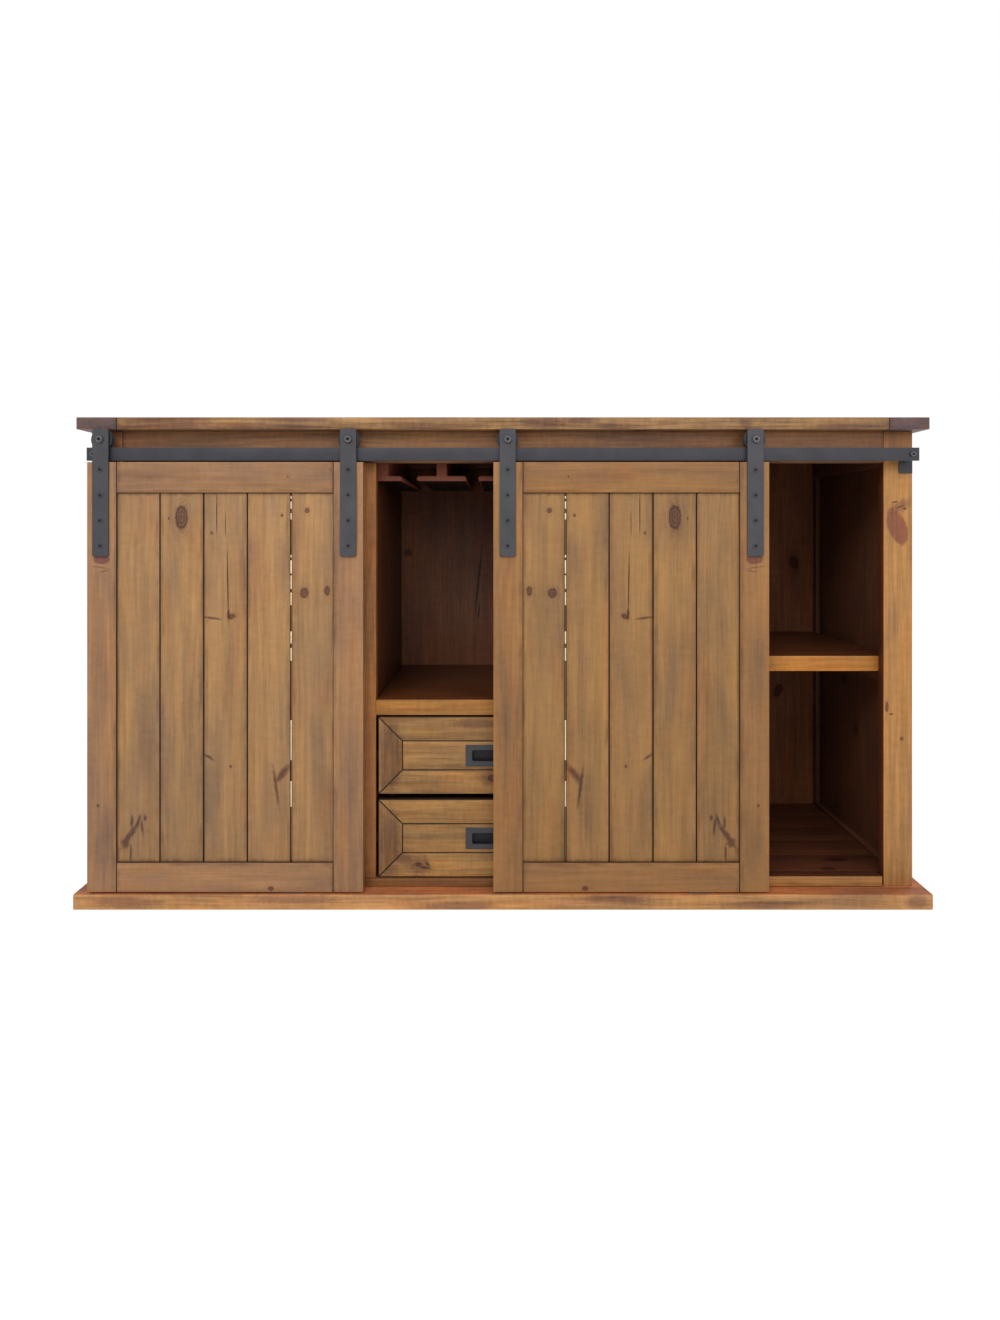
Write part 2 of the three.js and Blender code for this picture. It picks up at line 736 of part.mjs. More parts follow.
function makeDoor(door, x) {
  const group = new THREE.Group();
  group.position.set(x, doorFrontY, doorLow);
  const railX = doorStileWidth + seatGap;
  const topRailZ = doorHeight - doorTopRailHeight;
  const plankLow = doorBottomRailHeight - doorTongue;
  const plankHeight = topRailZ + doorTongue - plankLow;
  const planksWidth = doorWidth - 2 * (doorStileWidth - doorTongue);
  const faces = { front: true, back: true };
  const planks = plankPanel(planksWidth, doorPlankThickness, plankHeight, faces, doorTongue);
  const farStile = doorWidth - doorStileWidth;
  group.add(
    piece(`${door}_stile_left`, doorStile(true), doorPine, 0, 0, 0),
    piece(`${door}_stile_right`, doorStile(false), doorPine, farStile, 0, 0),
    piece(`${door}_rail_top`, doorRail(doorTopRailHeight, true), doorPine, railX, 0, topRailZ),
    piece(`${door}_rail_bottom`, doorRail(doorBottomRailHeight, false), doorPine, railX, 0, 0),
    piece(`${door}_planks`, planks, plankPine, doorStileWidth - doorTongue, doorPlankSetback, plankLow),
  );
  const strapLow = doorHeight - strapOnDoor;
  const strapHeight = topUnder - strapTopGap - doorLow - strapLow;
  const axleHeight = axleZ - doorLow;
  for (const [hand, centre] of [['left', strapInset], ['right', doorWidth - strapInset]]) {
    const strap = doorStrap(strapHeight, axleHeight - strapLow);
    const strapX = centre - strapWidth / 2;
    const strapY = strapFront - doorFrontY;
    const wheelY = wheelFront - doorFrontY;
    group.add(
      piece(`${door}_strap_${hand}`, strap, darkSteel, strapX, strapY, strapLow),
      piece(`${door}_wheel_${hand}`, trackWheel(), darkSteel, centre, wheelY, axleHeight),
      piece(`${door}_axle_${hand}`, axleBolt(), boltSteel, centre, strapY, axleHeight),
    );
  }
  return group;
}

// Track: a flat bar on edge, with a bolt hole at each end
function makeTrackBar() {
  const half = carcassHalf - barEndInset;
  const shape = outline([[-half, 0], [half, 0], [half, barHeight], [-half, barHeight]]);
  for (const x of [-half + barBoltInset, half - barBoltInset]) {
    const hole = new THREE.Path();
    hole.absarc(x, barHeight / 2, barBoltRadius + seatGap, 0, Math.PI * 2, true);
    shape.holes.push(hole);
  }
  const solid = new THREE.ExtrudeGeometry(shape, {
    depth: barThickness, bevelEnabled: false, curveSegments: holeSides,
  });
  const bar = laidAlongY(solid, barThickness);
  return [piece('track_bar', bar, darkSteel, 0, barY - barThickness / 2, barLow)];
}

// Track bracket: a plate on the end stile, a spacer out to the bar and the bolt that holds the bar.
// Its origin is the bolt's axis on the stile's face.
function trackBracket() {
  const barFront = barY - barThickness / 2 - faceY;
  const barBack = barFront + barThickness;
  const plateFront = -seatGap - bracketThickness;
  const plateHigh = barHeight / 2 - bracketTopGap;
  const spacerLength = plateFront - barBack - seatGap + glueLap;
  const headFront = barFront - seatGap - barBoltHeadHeight;
  return join(
    block(bracketWidth, bracketThickness, bracketHeight,
      -bracketWidth / 2, plateFront, plateHigh - bracketHeight),
    roundBar(spacerRadius, spacerLength, boltSides).translate(0, barBack + seatGap, 0),
    roundBar(barBoltRadius, plateFront - headFront, boltSides).translate(0, headFront, 0),
    roundBar(barBoltHeadRadius, barBoltHeadHeight, boltSides).translate(0, headFront, 0),
  );
}

function makeTrackBrackets() {
  const x = carcassHalf - barEndInset - barBoltInset;
  const z = barLow + barHeight / 2;
  return [
    piece('track_bracket_left', trackBracket(), darkSteel, -x, faceY, z),
    piece('track_bracket_right', trackBracket(), darkSteel, x, faceY, z),
  ];
}

// Door guide: a plate on the base with a fin that stands in the groove under the door
function makeDoorGuides() {
  const guide = () => join(
    block(guideLength, guidePlateWidth, guidePlateThickness, -guideLength / 2, -guidePlateWidth / 2),
    block(guideLength, guideFinThickness, guideFinHeight + glueLap,
      -guideLength / 2, -guideFinThickness / 2, guidePlateThickness - glueLap),
  );
  const y = doorFrontY + doorThickness / 2;
  const z = baseThickness + seatGap;
  const fromDoor = doorWidth - doorStileWidth - guideFromStile;
  return [
    piece('door_guide_left', guide(), darkSteel, leftDoorStart + fromDoor, y, z),
    piece('door_guide_right', guide(), darkSteel, rightDoorStart + fromDoor, y, z),
  ];
}

const cabinet = new THREE.Group();
cabinet.name = 'wine_cabinet';
cabinet.add(
  ...makeBase(),
  ...makeTop(),
  ...makeFaceFrame(),
  ...makeSides(),
  ...makePartitions(),
  ...makeBack(),
  ...makeFloor(),
  ...makeShelves(),
  ...makeRack(),
  ...makeRunners(),
  makeDrawer('upper', upperDrawerLow),
  makeDrawer('lower', lowerDrawerLow),
  ...makeTrackBar(),
  ...makeTrackBrackets(),
  ...makeDoorGuides(),
  makeDoor('left_door', leftDoorStart),
  makeDoor('right_door', rightDoorStart),
);

export default cabinet;
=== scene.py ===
import json
import math
import random
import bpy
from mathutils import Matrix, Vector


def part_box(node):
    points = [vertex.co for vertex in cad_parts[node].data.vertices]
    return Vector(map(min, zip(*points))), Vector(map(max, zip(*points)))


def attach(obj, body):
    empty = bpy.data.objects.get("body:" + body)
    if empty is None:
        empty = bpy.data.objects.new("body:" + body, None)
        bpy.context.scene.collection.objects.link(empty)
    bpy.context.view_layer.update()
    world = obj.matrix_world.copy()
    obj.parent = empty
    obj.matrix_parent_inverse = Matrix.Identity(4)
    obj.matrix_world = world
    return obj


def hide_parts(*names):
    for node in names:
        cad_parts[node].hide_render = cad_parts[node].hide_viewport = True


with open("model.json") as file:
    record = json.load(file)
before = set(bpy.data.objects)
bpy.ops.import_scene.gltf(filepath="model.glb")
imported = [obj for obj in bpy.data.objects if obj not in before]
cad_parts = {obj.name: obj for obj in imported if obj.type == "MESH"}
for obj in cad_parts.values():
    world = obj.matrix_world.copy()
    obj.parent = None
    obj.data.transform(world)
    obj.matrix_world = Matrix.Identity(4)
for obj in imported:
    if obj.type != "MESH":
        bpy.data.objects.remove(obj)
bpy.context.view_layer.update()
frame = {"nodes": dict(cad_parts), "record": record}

from types import SimpleNamespace

import bmesh
import bpy
from mathutils import Vector

# A rustic pine wine cabinet with two sliding plank doors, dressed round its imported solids.
# Metres, +X to the right, +Y to the back, +Z up.

record = frame["record"]

# Edges of the boards
ARRIS = 0.0011
FRAME_ARRIS = 0.0008
PLANK_ARRIS = 0.0006
ARRIS_STEPS = 2
SEAT_GAP = 0.0003
PLANK_WIDTH = 0.080
SHARP_WOOD = math.radians(30)
SMOOTH_WOOD = math.radians(50)
ALMOST_ALONG = 0.9

# Where a board's pith is: how far it may be to the side, and its depth under the board's middle
PITH_SPREAD = 0.08
PITH_DEPTH = 0.03
PITH_DEPTH_SPREAD = 0.05
PITH_SHUFFLE = 17

# Marks: the millimetres in a metre, and how far a mark reaches through its plane
MILLIMETRES = 1000
ENDLESS = 1.0e3

# Stain beside a joint: nearly black at first, then fading dirt
JOINT_BLACK = 0.0005
JOINT_BLACK_END = 0.0012
JOINT_DIRT_END = 0.011
JOINT_UNEVEN = 0.0012
NO_JOINT = 1.0
# The painted shadow on the frieze over each closed door: how far above the door's top it lies, and its half
# height
SLIT_LIFT = 0.0035
SLIT_HALF = 0.0045

# Boards inside the carcass
INNER_FACE = 0.003
BATTEN_HEIGHT = 0.064
BATTEN_THICKNESS = 0.012
STRIP_SIZE = 0.010
CORNER_STRIP_DEPTH = 0.020
SIDE_CLEAT_HEIGHT = 0.023
SIDE_CLEAT_THICKNESS = 0.020
MIDDLE_CLEAT_HEIGHT = 0.020
MIDDLE_CLEAT_THICKNESS = 0.011
SIDE_THICKNESS = 0.022
PARTITION_THICKNESS = 0.022
BACK_THICKNESS = 0.015
BACK_RAIL_HEIGHT = 0.040
FLOOR_END_GAP = 0.004
FLOOR_REBATE_DEPTH = 0.0048

# Stemware rack
RACK_FLANGE_THICKNESS = 0.010
RACK_STEM = 0.019
WALL_RAIL_STEM = 0.022
RACK_ROUND_STEPS = 8

# Drawers and their pulls
DRAWER_FRAME_WIDTH = 0.046
PULL_CUP_WIDTH = 0.116
PULL_CUP_HEIGHT = 0.020
PULL_WALL = 0.0012
PULL_FLANGE_THICKNESS = 0.0015
PULL_CORNER = 0.0015
PULL_CUP_CORNER = 0.003
PULL_EASE = 0.0007
PULL_OUTER_LOOPS = 5

# Doors: the gaps between the left door's planks from left to right, and where pale tongue shows
DOOR_TUCK = 0.002
DOOR_PLANK_GAPS = (0.0012, 0.0021, 0.0012, 0.0026)
TONGUE_SETBACK = 0.0016
PALE_SETBACK = 0.0005
PALE_TONGUES = (
    (0.189, 0.237), (0.276, 0.351), (0.462, 0.486), (0.494, 0.517), (0.566, 0.590), (0.596, 0.622),
    (0.625, 0.650), (0.655, 0.660), (0.726, 0.738), (0.746, 0.760), (0.765, 0.770),
)

# Steel
STEEL_ARRIS = 0.0006
SMOOTH_STEEL = math.radians(40)
TURNED_SIDES = 36
EASE_STEPS = 3
CORNER_STEPS = 5
STRAP_CORNER = 0.003
STRAP_SCREW_FIRST = 0.0148
STRAP_SCREW_PITCH = 0.0472
STRAP_SCREW_COUNT = 4
STRAP_ON_DOOR = 0.176
SCREW_HEIGHT = 0.0014
AXLE_RADIUS = 0.004
AXLE_HEAD_HEIGHT = 0.005
AXLE_NUT = 0.0061
ROD_EASE = 0.0005
WASHER_RADIUS = 0.007
WASHER_THICKNESS = 0.0014
SOCKET_DEPTH = 0.0022
SOCKET_LAND = 0.0004
SOCKET_SHARE = 0.85
WHEEL_FLANGE = 0.002
WHEEL_FLANGE_HEIGHT = 0.006
WHEEL_EASE = 0.0009
WHEEL_DISH_RADIUS = 0.0115
WHEEL_HUB_RADIUS = 0.008
WHEEL_DISH_DEPTH = 0.001
AXLE_CLEARANCE = 0.0003
BRACKET_THICKNESS = 0.003
SPACER_RADIUS = 0.008
BAR_HEAD_HEIGHT = 0.0035

# Heads of screws and bolts: the radius, half the width of the socket, and how far the rim is eased
SCREW_HEAD = (0.0046, 0.0027, 0.0005)
AXLE_HEAD = (0.0065, 0.0029, 0.0012)
BAR_HEAD = (0.005, 0.0023, 0.0012)

# Studio, with each softbox as its place, its width and height, and its power
FLOOR_HALF = 8.0
FLOOR_COLOUR = (0.9, 0.9, 0.9, 1.0)
WHITE = (1.0, 1.0, 1.0, 1.0)
FLOOR_LIFT = 0.48
WORLD_LIGHT = 0.62
WORLD_SEEN = 0.38
LIGHT_AIM = (0.0, 0.0, 0.45)
SOFTBOXES = {
    "key": ((-1.1, -3.0, 3.0), (2.2, 1.4), 56.0),
    "fill": ((1.9, -3.2, 1.8), (2.0, 1.6), 24.0),
}
CAMERA_HEIGHT = 0.700
CAMERA_DISTANCE = 1.7054
PHOTO_LONG_SIDE = 1320
FOCAL_PIXELS = 796
SHIFT_PIXELS = (-3, -126.5)
SENSOR = 36.0


def new_object(name, data):
    made = bpy.data.objects.new(name, data)
    bpy.context.scene.collection.objects.link(made)
    return made


def finished(name, data, finishes, angle):
    """An object of that mesh, smooth but for edges that are sharper than the angle."""
    for finish in finishes:
        data.materials.append(finish)
    data.shade_smooth()
    data.set_sharp_from_angle(angle=angle)
    return new_object(name, data)


def box_with_middle(node):
    low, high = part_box(node)
    return low, high, (low + high) / 2


node_body = {node: body for body, nodes in record["behaviour"]["bodies"].items() for node in nodes}


def dress(piece, node):
    """The piece stands for that node and moves with its body."""
    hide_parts(node)
    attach(piece, node_body[node])


# Node helpers

def add_node(tree, kind, inputs=None, **settings):
    made = tree.nodes.new(kind)
    for name, value in settings.items():
        setattr(made, name, value)
    for name, value in (inputs or {}).items():
        socket = made.inputs[name]
        if isinstance(value, bpy.types.NodeSocket):
            tree.links.new(value, socket)
        else:
            socket.default_value = value
    return made


def calculate(tree, operation, first, second=0.0, third=0.0):
    inputs = {0: first, 1: second, 2: third}
    return add_node(tree, "ShaderNodeMath", inputs, operation=operation).outputs[0]


def centred(tree, value):
    return calculate(tree, "SUBTRACT", value, 0.5)


def wave(tree, phase):
    """A sine wave between 0 and 1."""
    return calculate(tree, "MULTIPLY_ADD", calculate(tree, "SINE", phase), 0.5, 0.5)


def nearer(tree, nearest, distance):
    """The smaller distance, where the first one may be missing."""
    return distance if nearest is None else calculate(tree, "MINIMUM", nearest, distance)


def scaled(tree, vector, factors):
    inputs = {0: vector, 1: factors}
    return add_node(tree, "ShaderNodeVectorMath", inputs, operation="MULTIPLY").outputs[0]


def length(tree, vector):
    return add_node(tree, "ShaderNodeVectorMath", {0: vector}, operation="LENGTH").outputs["Value"]


def separated(tree, vector):
    return add_node(tree, "ShaderNodeSeparateXYZ", {0: vector}).outputs


def noise(tree, vector, shift, detail=2.0):
    inputs = {"Vector": vector, "W": shift, "Scale": 1.0, "Detail": detail}
    return add_node(tree, "ShaderNodeTexNoise", inputs, noise_dimensions="4D").outputs[0]


def stepped(tree, value, start, end, low=0.0, high=1.0):
    """From low at the start to high at the end, smoothly."""
    inputs = {0: value, 1: start, 2: end, 3: low, 4: high}
    made = add_node(tree, "ShaderNodeMapRange", inputs, interpolation_type="SMOOTHSTEP")
    return made.outputs[0]


def mixed(tree, factor, first, second, blend="MIX"):
    inputs = {0: factor, 6: first, 7: second}
    made = add_node(tree, "ShaderNodeMix", inputs, data_type="RGBA", blend_type=blend)
    return made.outputs[2]


def toned(tree, factor, paint, tint):
    """The paint times a tint, as far as the factor goes."""
    return mixed(tree, factor, paint, (*tint, 1.0), "MULTIPLY")


def attribute(tree, name, output="Fac"):
    return add_node(tree, "ShaderNodeAttribute", attribute_name=name).outputs[output]


def toned_where(tree, name, share, paint, tint):
    """The paint times a tint on the faces that an attribute marks."""
    return toned(tree, calculate(tree, "MULTIPLY", attribute(tree, name), share), paint, tint)


def colour(red, green, blue):
    """A colour as it looks on screen, from 0 to 255, as the linear values that a socket takes."""
    parts = [value / 255 for value in (red, green, blue)]
    linear = [p / 12.92 if p <= 0.04045 else ((p + 0.055) / 1.055) ** 2.4 for p in parts]
    return (*linear, 1.0)


def new_material(name):
    """A material, its node tree and the places on the object at rest."""
    material = bpy.data.materials.new(name)
    material.use_nodes = True
    tree = material.node_tree
    return material, tree, add_node(tree, "ShaderNodeTexCoord").outputs["Object"]


def set_shader(tree, paint, gloss, specular, height, depth):
    shader = tree.nodes["Principled BSDF"]
    inputs = {"Height": height, "Strength": RELIEF_STRENGTH, "Distance": depth}
    relief = add_node(tree, "ShaderNodeBump", inputs).outputs[0]
    for name, value in (("Base Color", paint), ("Roughness", gloss), ("Normal", relief)):
        tree.links.new(value, shader.inputs[name])
    shader.inputs["Specular IOR Level"].default_value = specular
    return shader


# Figure of the wood: how long and how wide each kind of patch is, its octaves of finer detail, and
# how much light and dark it makes
FIGURE = {
    "Band": (0.60, 0.020, 2, 0.45),
    "Streak": (0.16, 0.0060, 2, 0.50),
    "Curl": (0.008, 0.020, 2, 0.26),
    "Fibre": (0.050, 0.0021, 2, 0.42),
    "Cloud": (0.15, 0.044, 4, 0.0),
    "Blush": (0.16, 0.034, 3, 0.0),
}
RING_WIDTH = 0.0080
RING_WOBBLE = 0.055
RING_WOBBLE_LENGTH = 0.45
RING_WOBBLE_WIDTH = 0.14
RING_WOBBLE_DETAIL = 1
RING_SHARPNESS = 2.0
KNOT_BULGE = 0.010

# How far apart in the noise the boards, the kinds of patch and the other patterns are
BOARD_SHIFT = 61.0
PATCH_SHIFT = 3.7
WOBBLE_SHIFT = 29.0
DIRT_SHIFT = 5.0
STEEL_SHIFT = 3.0

# Patches to a metre along each axis, and the range in which nearly all of a noise lies
RAGGED_RATE = (160.0, 160.0, 160.0)
DIRT_RATE = (22.0, 90.0, 90.0)
STRAY_RATE = (4.0, 10.0, 10.0)
SPECK_RATE = (1500.0, 1500.0, 1500.0)
STEEL_CLOUD_RATE = (24.0, 24.0, 24.0)
NOISE_RANGE = (0.3, 0.7)

# What each kind of patch and mark does to the colour
GREY_TINT = (0.64, 0.70, 0.94)
GOLD_TINT = (1.16, 1.13, 0.98)
RED_TINT = (1.02, 0.78, 0.66)
LATE_WOOD_TINT = (0.72, 0.62, 0.55)
KNOT_TINT = (0.36, 0.27, 0.40)
KNOT_RIM_TINT = (0.26, 0.18, 0.24)
DIRT_TINT = (0.62, 0.58, 0.60)
END_GRAIN_TINT = (0.52, 0.48, 0.50)
WORN_TINT = (1.45, 1.38, 1.26)
JOINT_COLOUR = colour(20, 15, 14)

# Where in its patches each tint starts and is full
PATCH_TINTS = (
    ("Cloud", 0.46, 0.70, GREY_TINT), ("Cloud", 0.50, 0.32, GOLD_TINT), ("Blush", 0.50, 0.72, RED_TINT),
)

# How ragged and how soft the edge of each kind of mark is, and its tint
MARK_KINDS = {
    # Real stains, and painted shade on the face stiles' tops and over the upper back
    "stain": (0.9, 0.50, (0.58, 0.54, 0.68)),
    "shade": (0.9, 0.75, (0.82, 0.84, 0.93)),
    # A painted pool of light
    "glow": (0.5, 0.85, (2.4, 1.7, 1.1)),
    "oval": (0.3, 0.16, (0.54, 0.38, 0.62)),
    "smudge": (1.2, 0.60, (0.34, 0.28, 0.42)),
    # Real cracks, and on the frieze the painted shadow over each closed door
    "crack": (0.8, 0.40, (0.14, 0.12, 0.13)),
}

# Knots, where 1 is a knot's rim: where the rings round it start to bend, and where its halo, its edge
# and its dark rim start and are full
KNOT_BEND = (3.4, 0.6)
KNOT_HALO = (2.4, 1.0)
KNOT_EDGE = (1.15, 0.90)
KNOT_RIM = (0.62, 0.92)
KNOT_RAGGED = 0.5
KNOT_RINGS = 17.0
KNOT_HEART = (0.16, 0.82)
STRAY_REACH = 9.0
STRAY_SCATTER = 0.9

# How far each effect covers what is under it
LATE_WOOD_SHARE = 0.17
HALO_SHARE = 0.34
MARK_SHARE = 0.95
END_GRAIN_SHARE = 0.85
JOINT_SHARE = 0.92
DIRT_UNEVEN = 2.4

# Gloss and relief
RELIEF_STRENGTH = 0.25
PINE_RELIEF = 0.0006
PINE_GLOSS = (-0.05, 0.07)
PINE_SPECULAR = 0.22
RING_RELIEF = 0.3
CURL_RELIEF = 0.5
STEEL_RELIEF = 0.0002
STEEL_GLOSS = (-0.06, 0.08)
STEEL_SPECULAR = 0.3
STEEL_CLOUDS = (0.88, 1.12)
STEEL_SPECKS = (0.88, 1.10)
STEEL_WORN_SHARE = 0.35
STEEL_WORN_TINT = (2.0, 2.0, 2.0)


def make_grain_group():
    """Pine on a place that has the grain along its X: the rings round a pith that runs along it, and
    the patches of the figure. The bulge bends the rings round a knot."""
    group = bpy.data.node_groups.new("grain", "ShaderNodeTree")
    sockets = group.interface
    sockets.new_socket("Place", in_out="INPUT", socket_type="NodeSocketVector")
    for name in ("Board", "Bulge"):
        sockets.new_socket(name, in_out="INPUT", socket_type="NodeSocketFloat")
    for name in (*FIGURE, "Ring"):
        sockets.new_socket(name, in_out="OUTPUT", socket_type="NodeSocketFloat")
    inputs = group.nodes.new("NodeGroupInput").outputs
    outputs = group.nodes.new("NodeGroupOutput").inputs
    seed = calculate(group, "MULTIPLY", inputs["Board"], BOARD_SHIFT)

    def patches(along, across, detail, shift):
        vector = scaled(group, inputs["Place"], (1 / along, 1 / across, 1 / across))
        return noise(group, vector, calculate(group, "ADD", seed, shift), detail)

    for index, (name, (along, across, detail, _)) in enumerate(FIGURE.items()):
        group.links.new(patches(along, across, detail, index * PATCH_SHIFT), outputs[name])
    radius = length(group, scaled(group, inputs["Place"], (0.0, 1.0, 1.0)))
    wobble = patches(RING_WOBBLE_LENGTH, RING_WOBBLE_WIDTH, RING_WOBBLE_DETAIL, WOBBLE_SHIFT)
    depth = calculate(group, "MULTIPLY_ADD", wobble, RING_WOBBLE, radius)
    depth = calculate(group, "MULTIPLY_ADD", inputs["Bulge"], KNOT_BULGE, depth)
    rings = wave(group, calculate(group, "MULTIPLY", depth, 2 * math.pi / RING_WIDTH))
    group.links.new(calculate(group, "POWER", rings, RING_SHARPNESS), outputs["Ring"])
    return group


grain_group = make_grain_group()


def place_along_grain(tree, grain, coordinates, bare):
    """The place with its X along the grain, which the grain gets too."""
    if bare is None:
        place = attribute(tree, "board_place", "Vector")
        tree.links.new(attribute(tree, "board_number"), grain.inputs["Board"])
    else:
        parts = separated(tree, coordinates)
        order = {index: parts[(bare + index) % 3] for index in range(3)}
        place = add_node(tree, "ShaderNodeCombineXYZ", order).outputs[0]
    tree.links.new(place, grain.inputs["Place"])
    return place


def nearest_mark(tree, coordinates, marks, plane):
    """How far a place is from the nearest mark, where 1 is on its rim.
    A mark is its place on the plane, its half width, its half height and its lean to the right."""
    nearest = None
    across, up = plane
    through = 3 - across - up
    for place_across, place_up, half_width, half_height, lean in marks:
        centre, size, turn = [0.0] * 3, [ENDLESS] * 3, [0.0] * 3
        centre[across], centre[up] = place_across, place_up
        size[across], size[up] = half_width, half_height
        turn[through] = math.radians(lean)
        inputs = {"Vector": coordinates, "Location": centre, "Rotation": turn, "Scale": size}
        moved = add_node(tree, "ShaderNodeMapping", inputs, vector_type="TEXTURE").outputs[0]
        nearest = nearer(tree, nearest, length(tree, moved))
    return nearest


def stray_knots(tree, place, share):
    """The same for small knots at random places, in that share of the cells of a pattern."""
    inputs = {"Vector": scaled(tree, place, STRAY_RATE), "Scale": 1.0, "Randomness": STRAY_SCATTER}
    cell = add_node(tree, "ShaderNodeTexVoronoi", inputs).outputs
    draw = separated(tree, cell["Color"])
    is_missing = calculate(tree, "GREATER_THAN", draw[0], share)
    size = calculate(tree, "MULTIPLY_ADD", draw[1], STRAY_REACH, STRAY_REACH)
    beyond = calculate(tree, "MULTIPLY", is_missing, STRAY_REACH)
    return calculate(tree, "MULTIPLY_ADD", cell["Distance"], size, beyond)


def joint_distance(tree):
    """The distance to the nearest of the six joint faces that a board can have."""
    nearest = None
    for name in ("joints_a", "joints_b"):
        for part in separated(tree, attribute(tree, name, "Vector")):
            nearest = nearer(tree, nearest, part)
    return nearest


def rough_edge(tree, distance, ragged, amount):
    """The distance made uneven, so that a rim at 1 is ragged."""
    start = calculate(tree, "SUBTRACT", distance, amount / 2)
    return calculate(tree, "MULTIPLY_ADD", ragged, amount, start)


def with_knots(tree, paint, edge):
    """Each knot has a dark rim, rings in its heart and a halo of rings round it."""
    rings = wave(tree, calculate(tree, "MULTIPLY", edge, KNOT_RINGS))
    halo = calculate(tree, "MULTIPLY", rings, stepped(tree, edge, *KNOT_HALO, 0.0, HALO_SHARE))
    paint = toned(tree, halo, paint, KNOT_TINT)
    heart = toned(tree, calculate(tree, "MULTIPLY_ADD", rings, *KNOT_HEART), paint, KNOT_TINT)
    rim = toned(tree, MARK_SHARE, paint, KNOT_RIM_TINT)
    knot = mixed(tree, stepped(tree, edge, *KNOT_RIM), heart, rim)
    return mixed(tree, stepped(tree, edge, *KNOT_EDGE, 0.0, MARK_SHARE), paint, knot)


def with_stain(tree, paint, place, wear, dirt, joint):
    """End grain takes more stain, the arrises are rubbed paler, and dirt gathers beside the joints."""
    paint = toned_where(tree, "end_grain", END_GRAIN_SHARE, paint, END_GRAIN_TINT)
    paint = toned_where(tree, "arris", wear, paint, WORN_TINT)
    uneven = centred(tree, noise(tree, scaled(tree, place, DIRT_RATE), DIRT_SHIFT))
    gap = joint_distance(tree)
    grime = stepped(tree, gap, JOINT_DIRT_END, 0.0, 0.0, dirt)
    grime = calculate(tree, "MULTIPLY_ADD", uneven, DIRT_UNEVEN, grime)
    grime = calculate(tree, "MULTIPLY", grime, stepped(tree, gap, JOINT_DIRT_END, JOINT_DIRT_END / 2))
    paint = toned(tree, calculate(tree, "MAXIMUM", grime, 0.0), paint, DIRT_TINT)
    gap = calculate(tree, "MULTIPLY_ADD", uneven, JOINT_UNEVEN, gap)
    black = stepped(tree, gap, JOINT_BLACK_END * joint, JOINT_BLACK * joint, 0.0, JOINT_SHARE)
    return mixed(tree, black, paint, JOINT_COLOUR)


def pine(name, tone, contrast=1.0, cloud=0.6, gold=0.7, blush=0.45, stray=0.0, knots=(), plane=(0, 2),
         roughness=0.5, wear=0.35, dirt=0.45, joint=1.0, bare=None, **marks):
    """Stained pine of one tone. With bare, an axis, it is for a node that has no board attributes,
    and that axis of the node is along the grain. Marks are lists of marks, named by their kind."""
    material, tree, coordinates = new_material(name)
    grain = add_node(tree, "ShaderNodeGroup", node_tree=grain_group)
    values = grain.outputs
    place = place_along_grain(tree, grain, coordinates, bare)
    distance = nearest_mark(tree, coordinates, knots, plane)
    if stray:
        distance = nearer(tree, distance, stray_knots(tree, place, stray))
    if distance:
        tree.links.new(stepped(tree, distance, *KNOT_BEND), grain.inputs["Bulge"])

    shade = 1.0
    for kind, (_, _, _, weight) in FIGURE.items():
        if weight:
            light = centred(tree, values[kind])
            shade = calculate(tree, "MULTIPLY_ADD", light, weight * contrast, shade)
    paint = mixed(tree, 1.0, colour(*tone), shade, "MULTIPLY")
    for (kind, start, end, tint), most in zip(PATCH_TINTS, (cloud, gold, blush)):
        paint = toned(tree, stepped(tree, values[kind], start, end, 0.0, most), paint, tint)
    late_wood = calculate(tree, "MULTIPLY", values["Ring"], LATE_WOOD_SHARE * contrast)
    paint = toned(tree, late_wood, paint, LATE_WOOD_TINT)

    ragged = noise(tree, scaled(tree, coordinates, RAGGED_RATE), 0.0)
    if distance:
        paint = with_knots(tree, paint, rough_edge(tree, distance, ragged, KNOT_RAGGED))
    for kind, found in marks.items():
        amount, soft, tint = MARK_KINDS[kind]
        edge = rough_edge(tree, nearest_mark(tree, coordinates, found, plane), ragged, amount)
        paint = toned(tree, stepped(tree, edge, 1 + soft, 1 - soft, 0.0, MARK_SHARE), paint, tint)
    if bare is None:
        paint = with_stain(tree, paint, place, wear, dirt, joint)

    gloss = stepped(tree, values["Streak"], *NOISE_RANGE, *(roughness + change for change in PINE_GLOSS))
    height = calculate(tree, "MULTIPLY_ADD", values["Ring"], RING_RELIEF, values["Fibre"])
    height = calculate(tree, "MULTIPLY_ADD", values["Curl"], CURL_RELIEF, height)
    set_shader(tree, paint, gloss, PINE_SPECULAR, height, PINE_RELIEF)
    return material


def steel(name, tone, roughness=0.5, metallic=0.0):
    """Painted or blackened steel, specked, with its edges rubbed brighter."""
    material, tree, coordinates = new_material(name)
    speck = noise(tree, scaled(tree, coordinates, SPECK_RATE), 0.0)
    cloud = noise(tree, scaled(tree, coordinates, STEEL_CLOUD_RATE), STEEL_SHIFT, detail=3.0)
    paint = colour(*tone)
    for value, amounts in ((cloud, STEEL_CLOUDS), (speck, STEEL_SPECKS)):
        paint = mixed(tree, 1.0, paint, stepped(tree, value, *NOISE_RANGE, *amounts), "MULTIPLY")
    paint = toned_where(tree, "arris", STEEL_WORN_SHARE, paint, STEEL_WORN_TINT)
    gloss = stepped(tree, speck, *NOISE_RANGE, *(roughness + change for change in STEEL_GLOSS))
    shader = set_shader(tree, paint, gloss, STEEL_SPECULAR, speck, STEEL_RELIEF)
    shader.inputs["Metallic"].default_value = metallic
    return material


# Marks that the photograph shows, as place across, height, half width, half height and lean. The doors'
# marks have their place across from the left edge of the left door.

def marks(*rows):
    """Marks in metres, from rows in millimetres, whose lean in degrees may be left out."""
    return [(*(value / MILLIMETRES for value in row[:4]), *(row[4:] or (0,))) for row in rows]


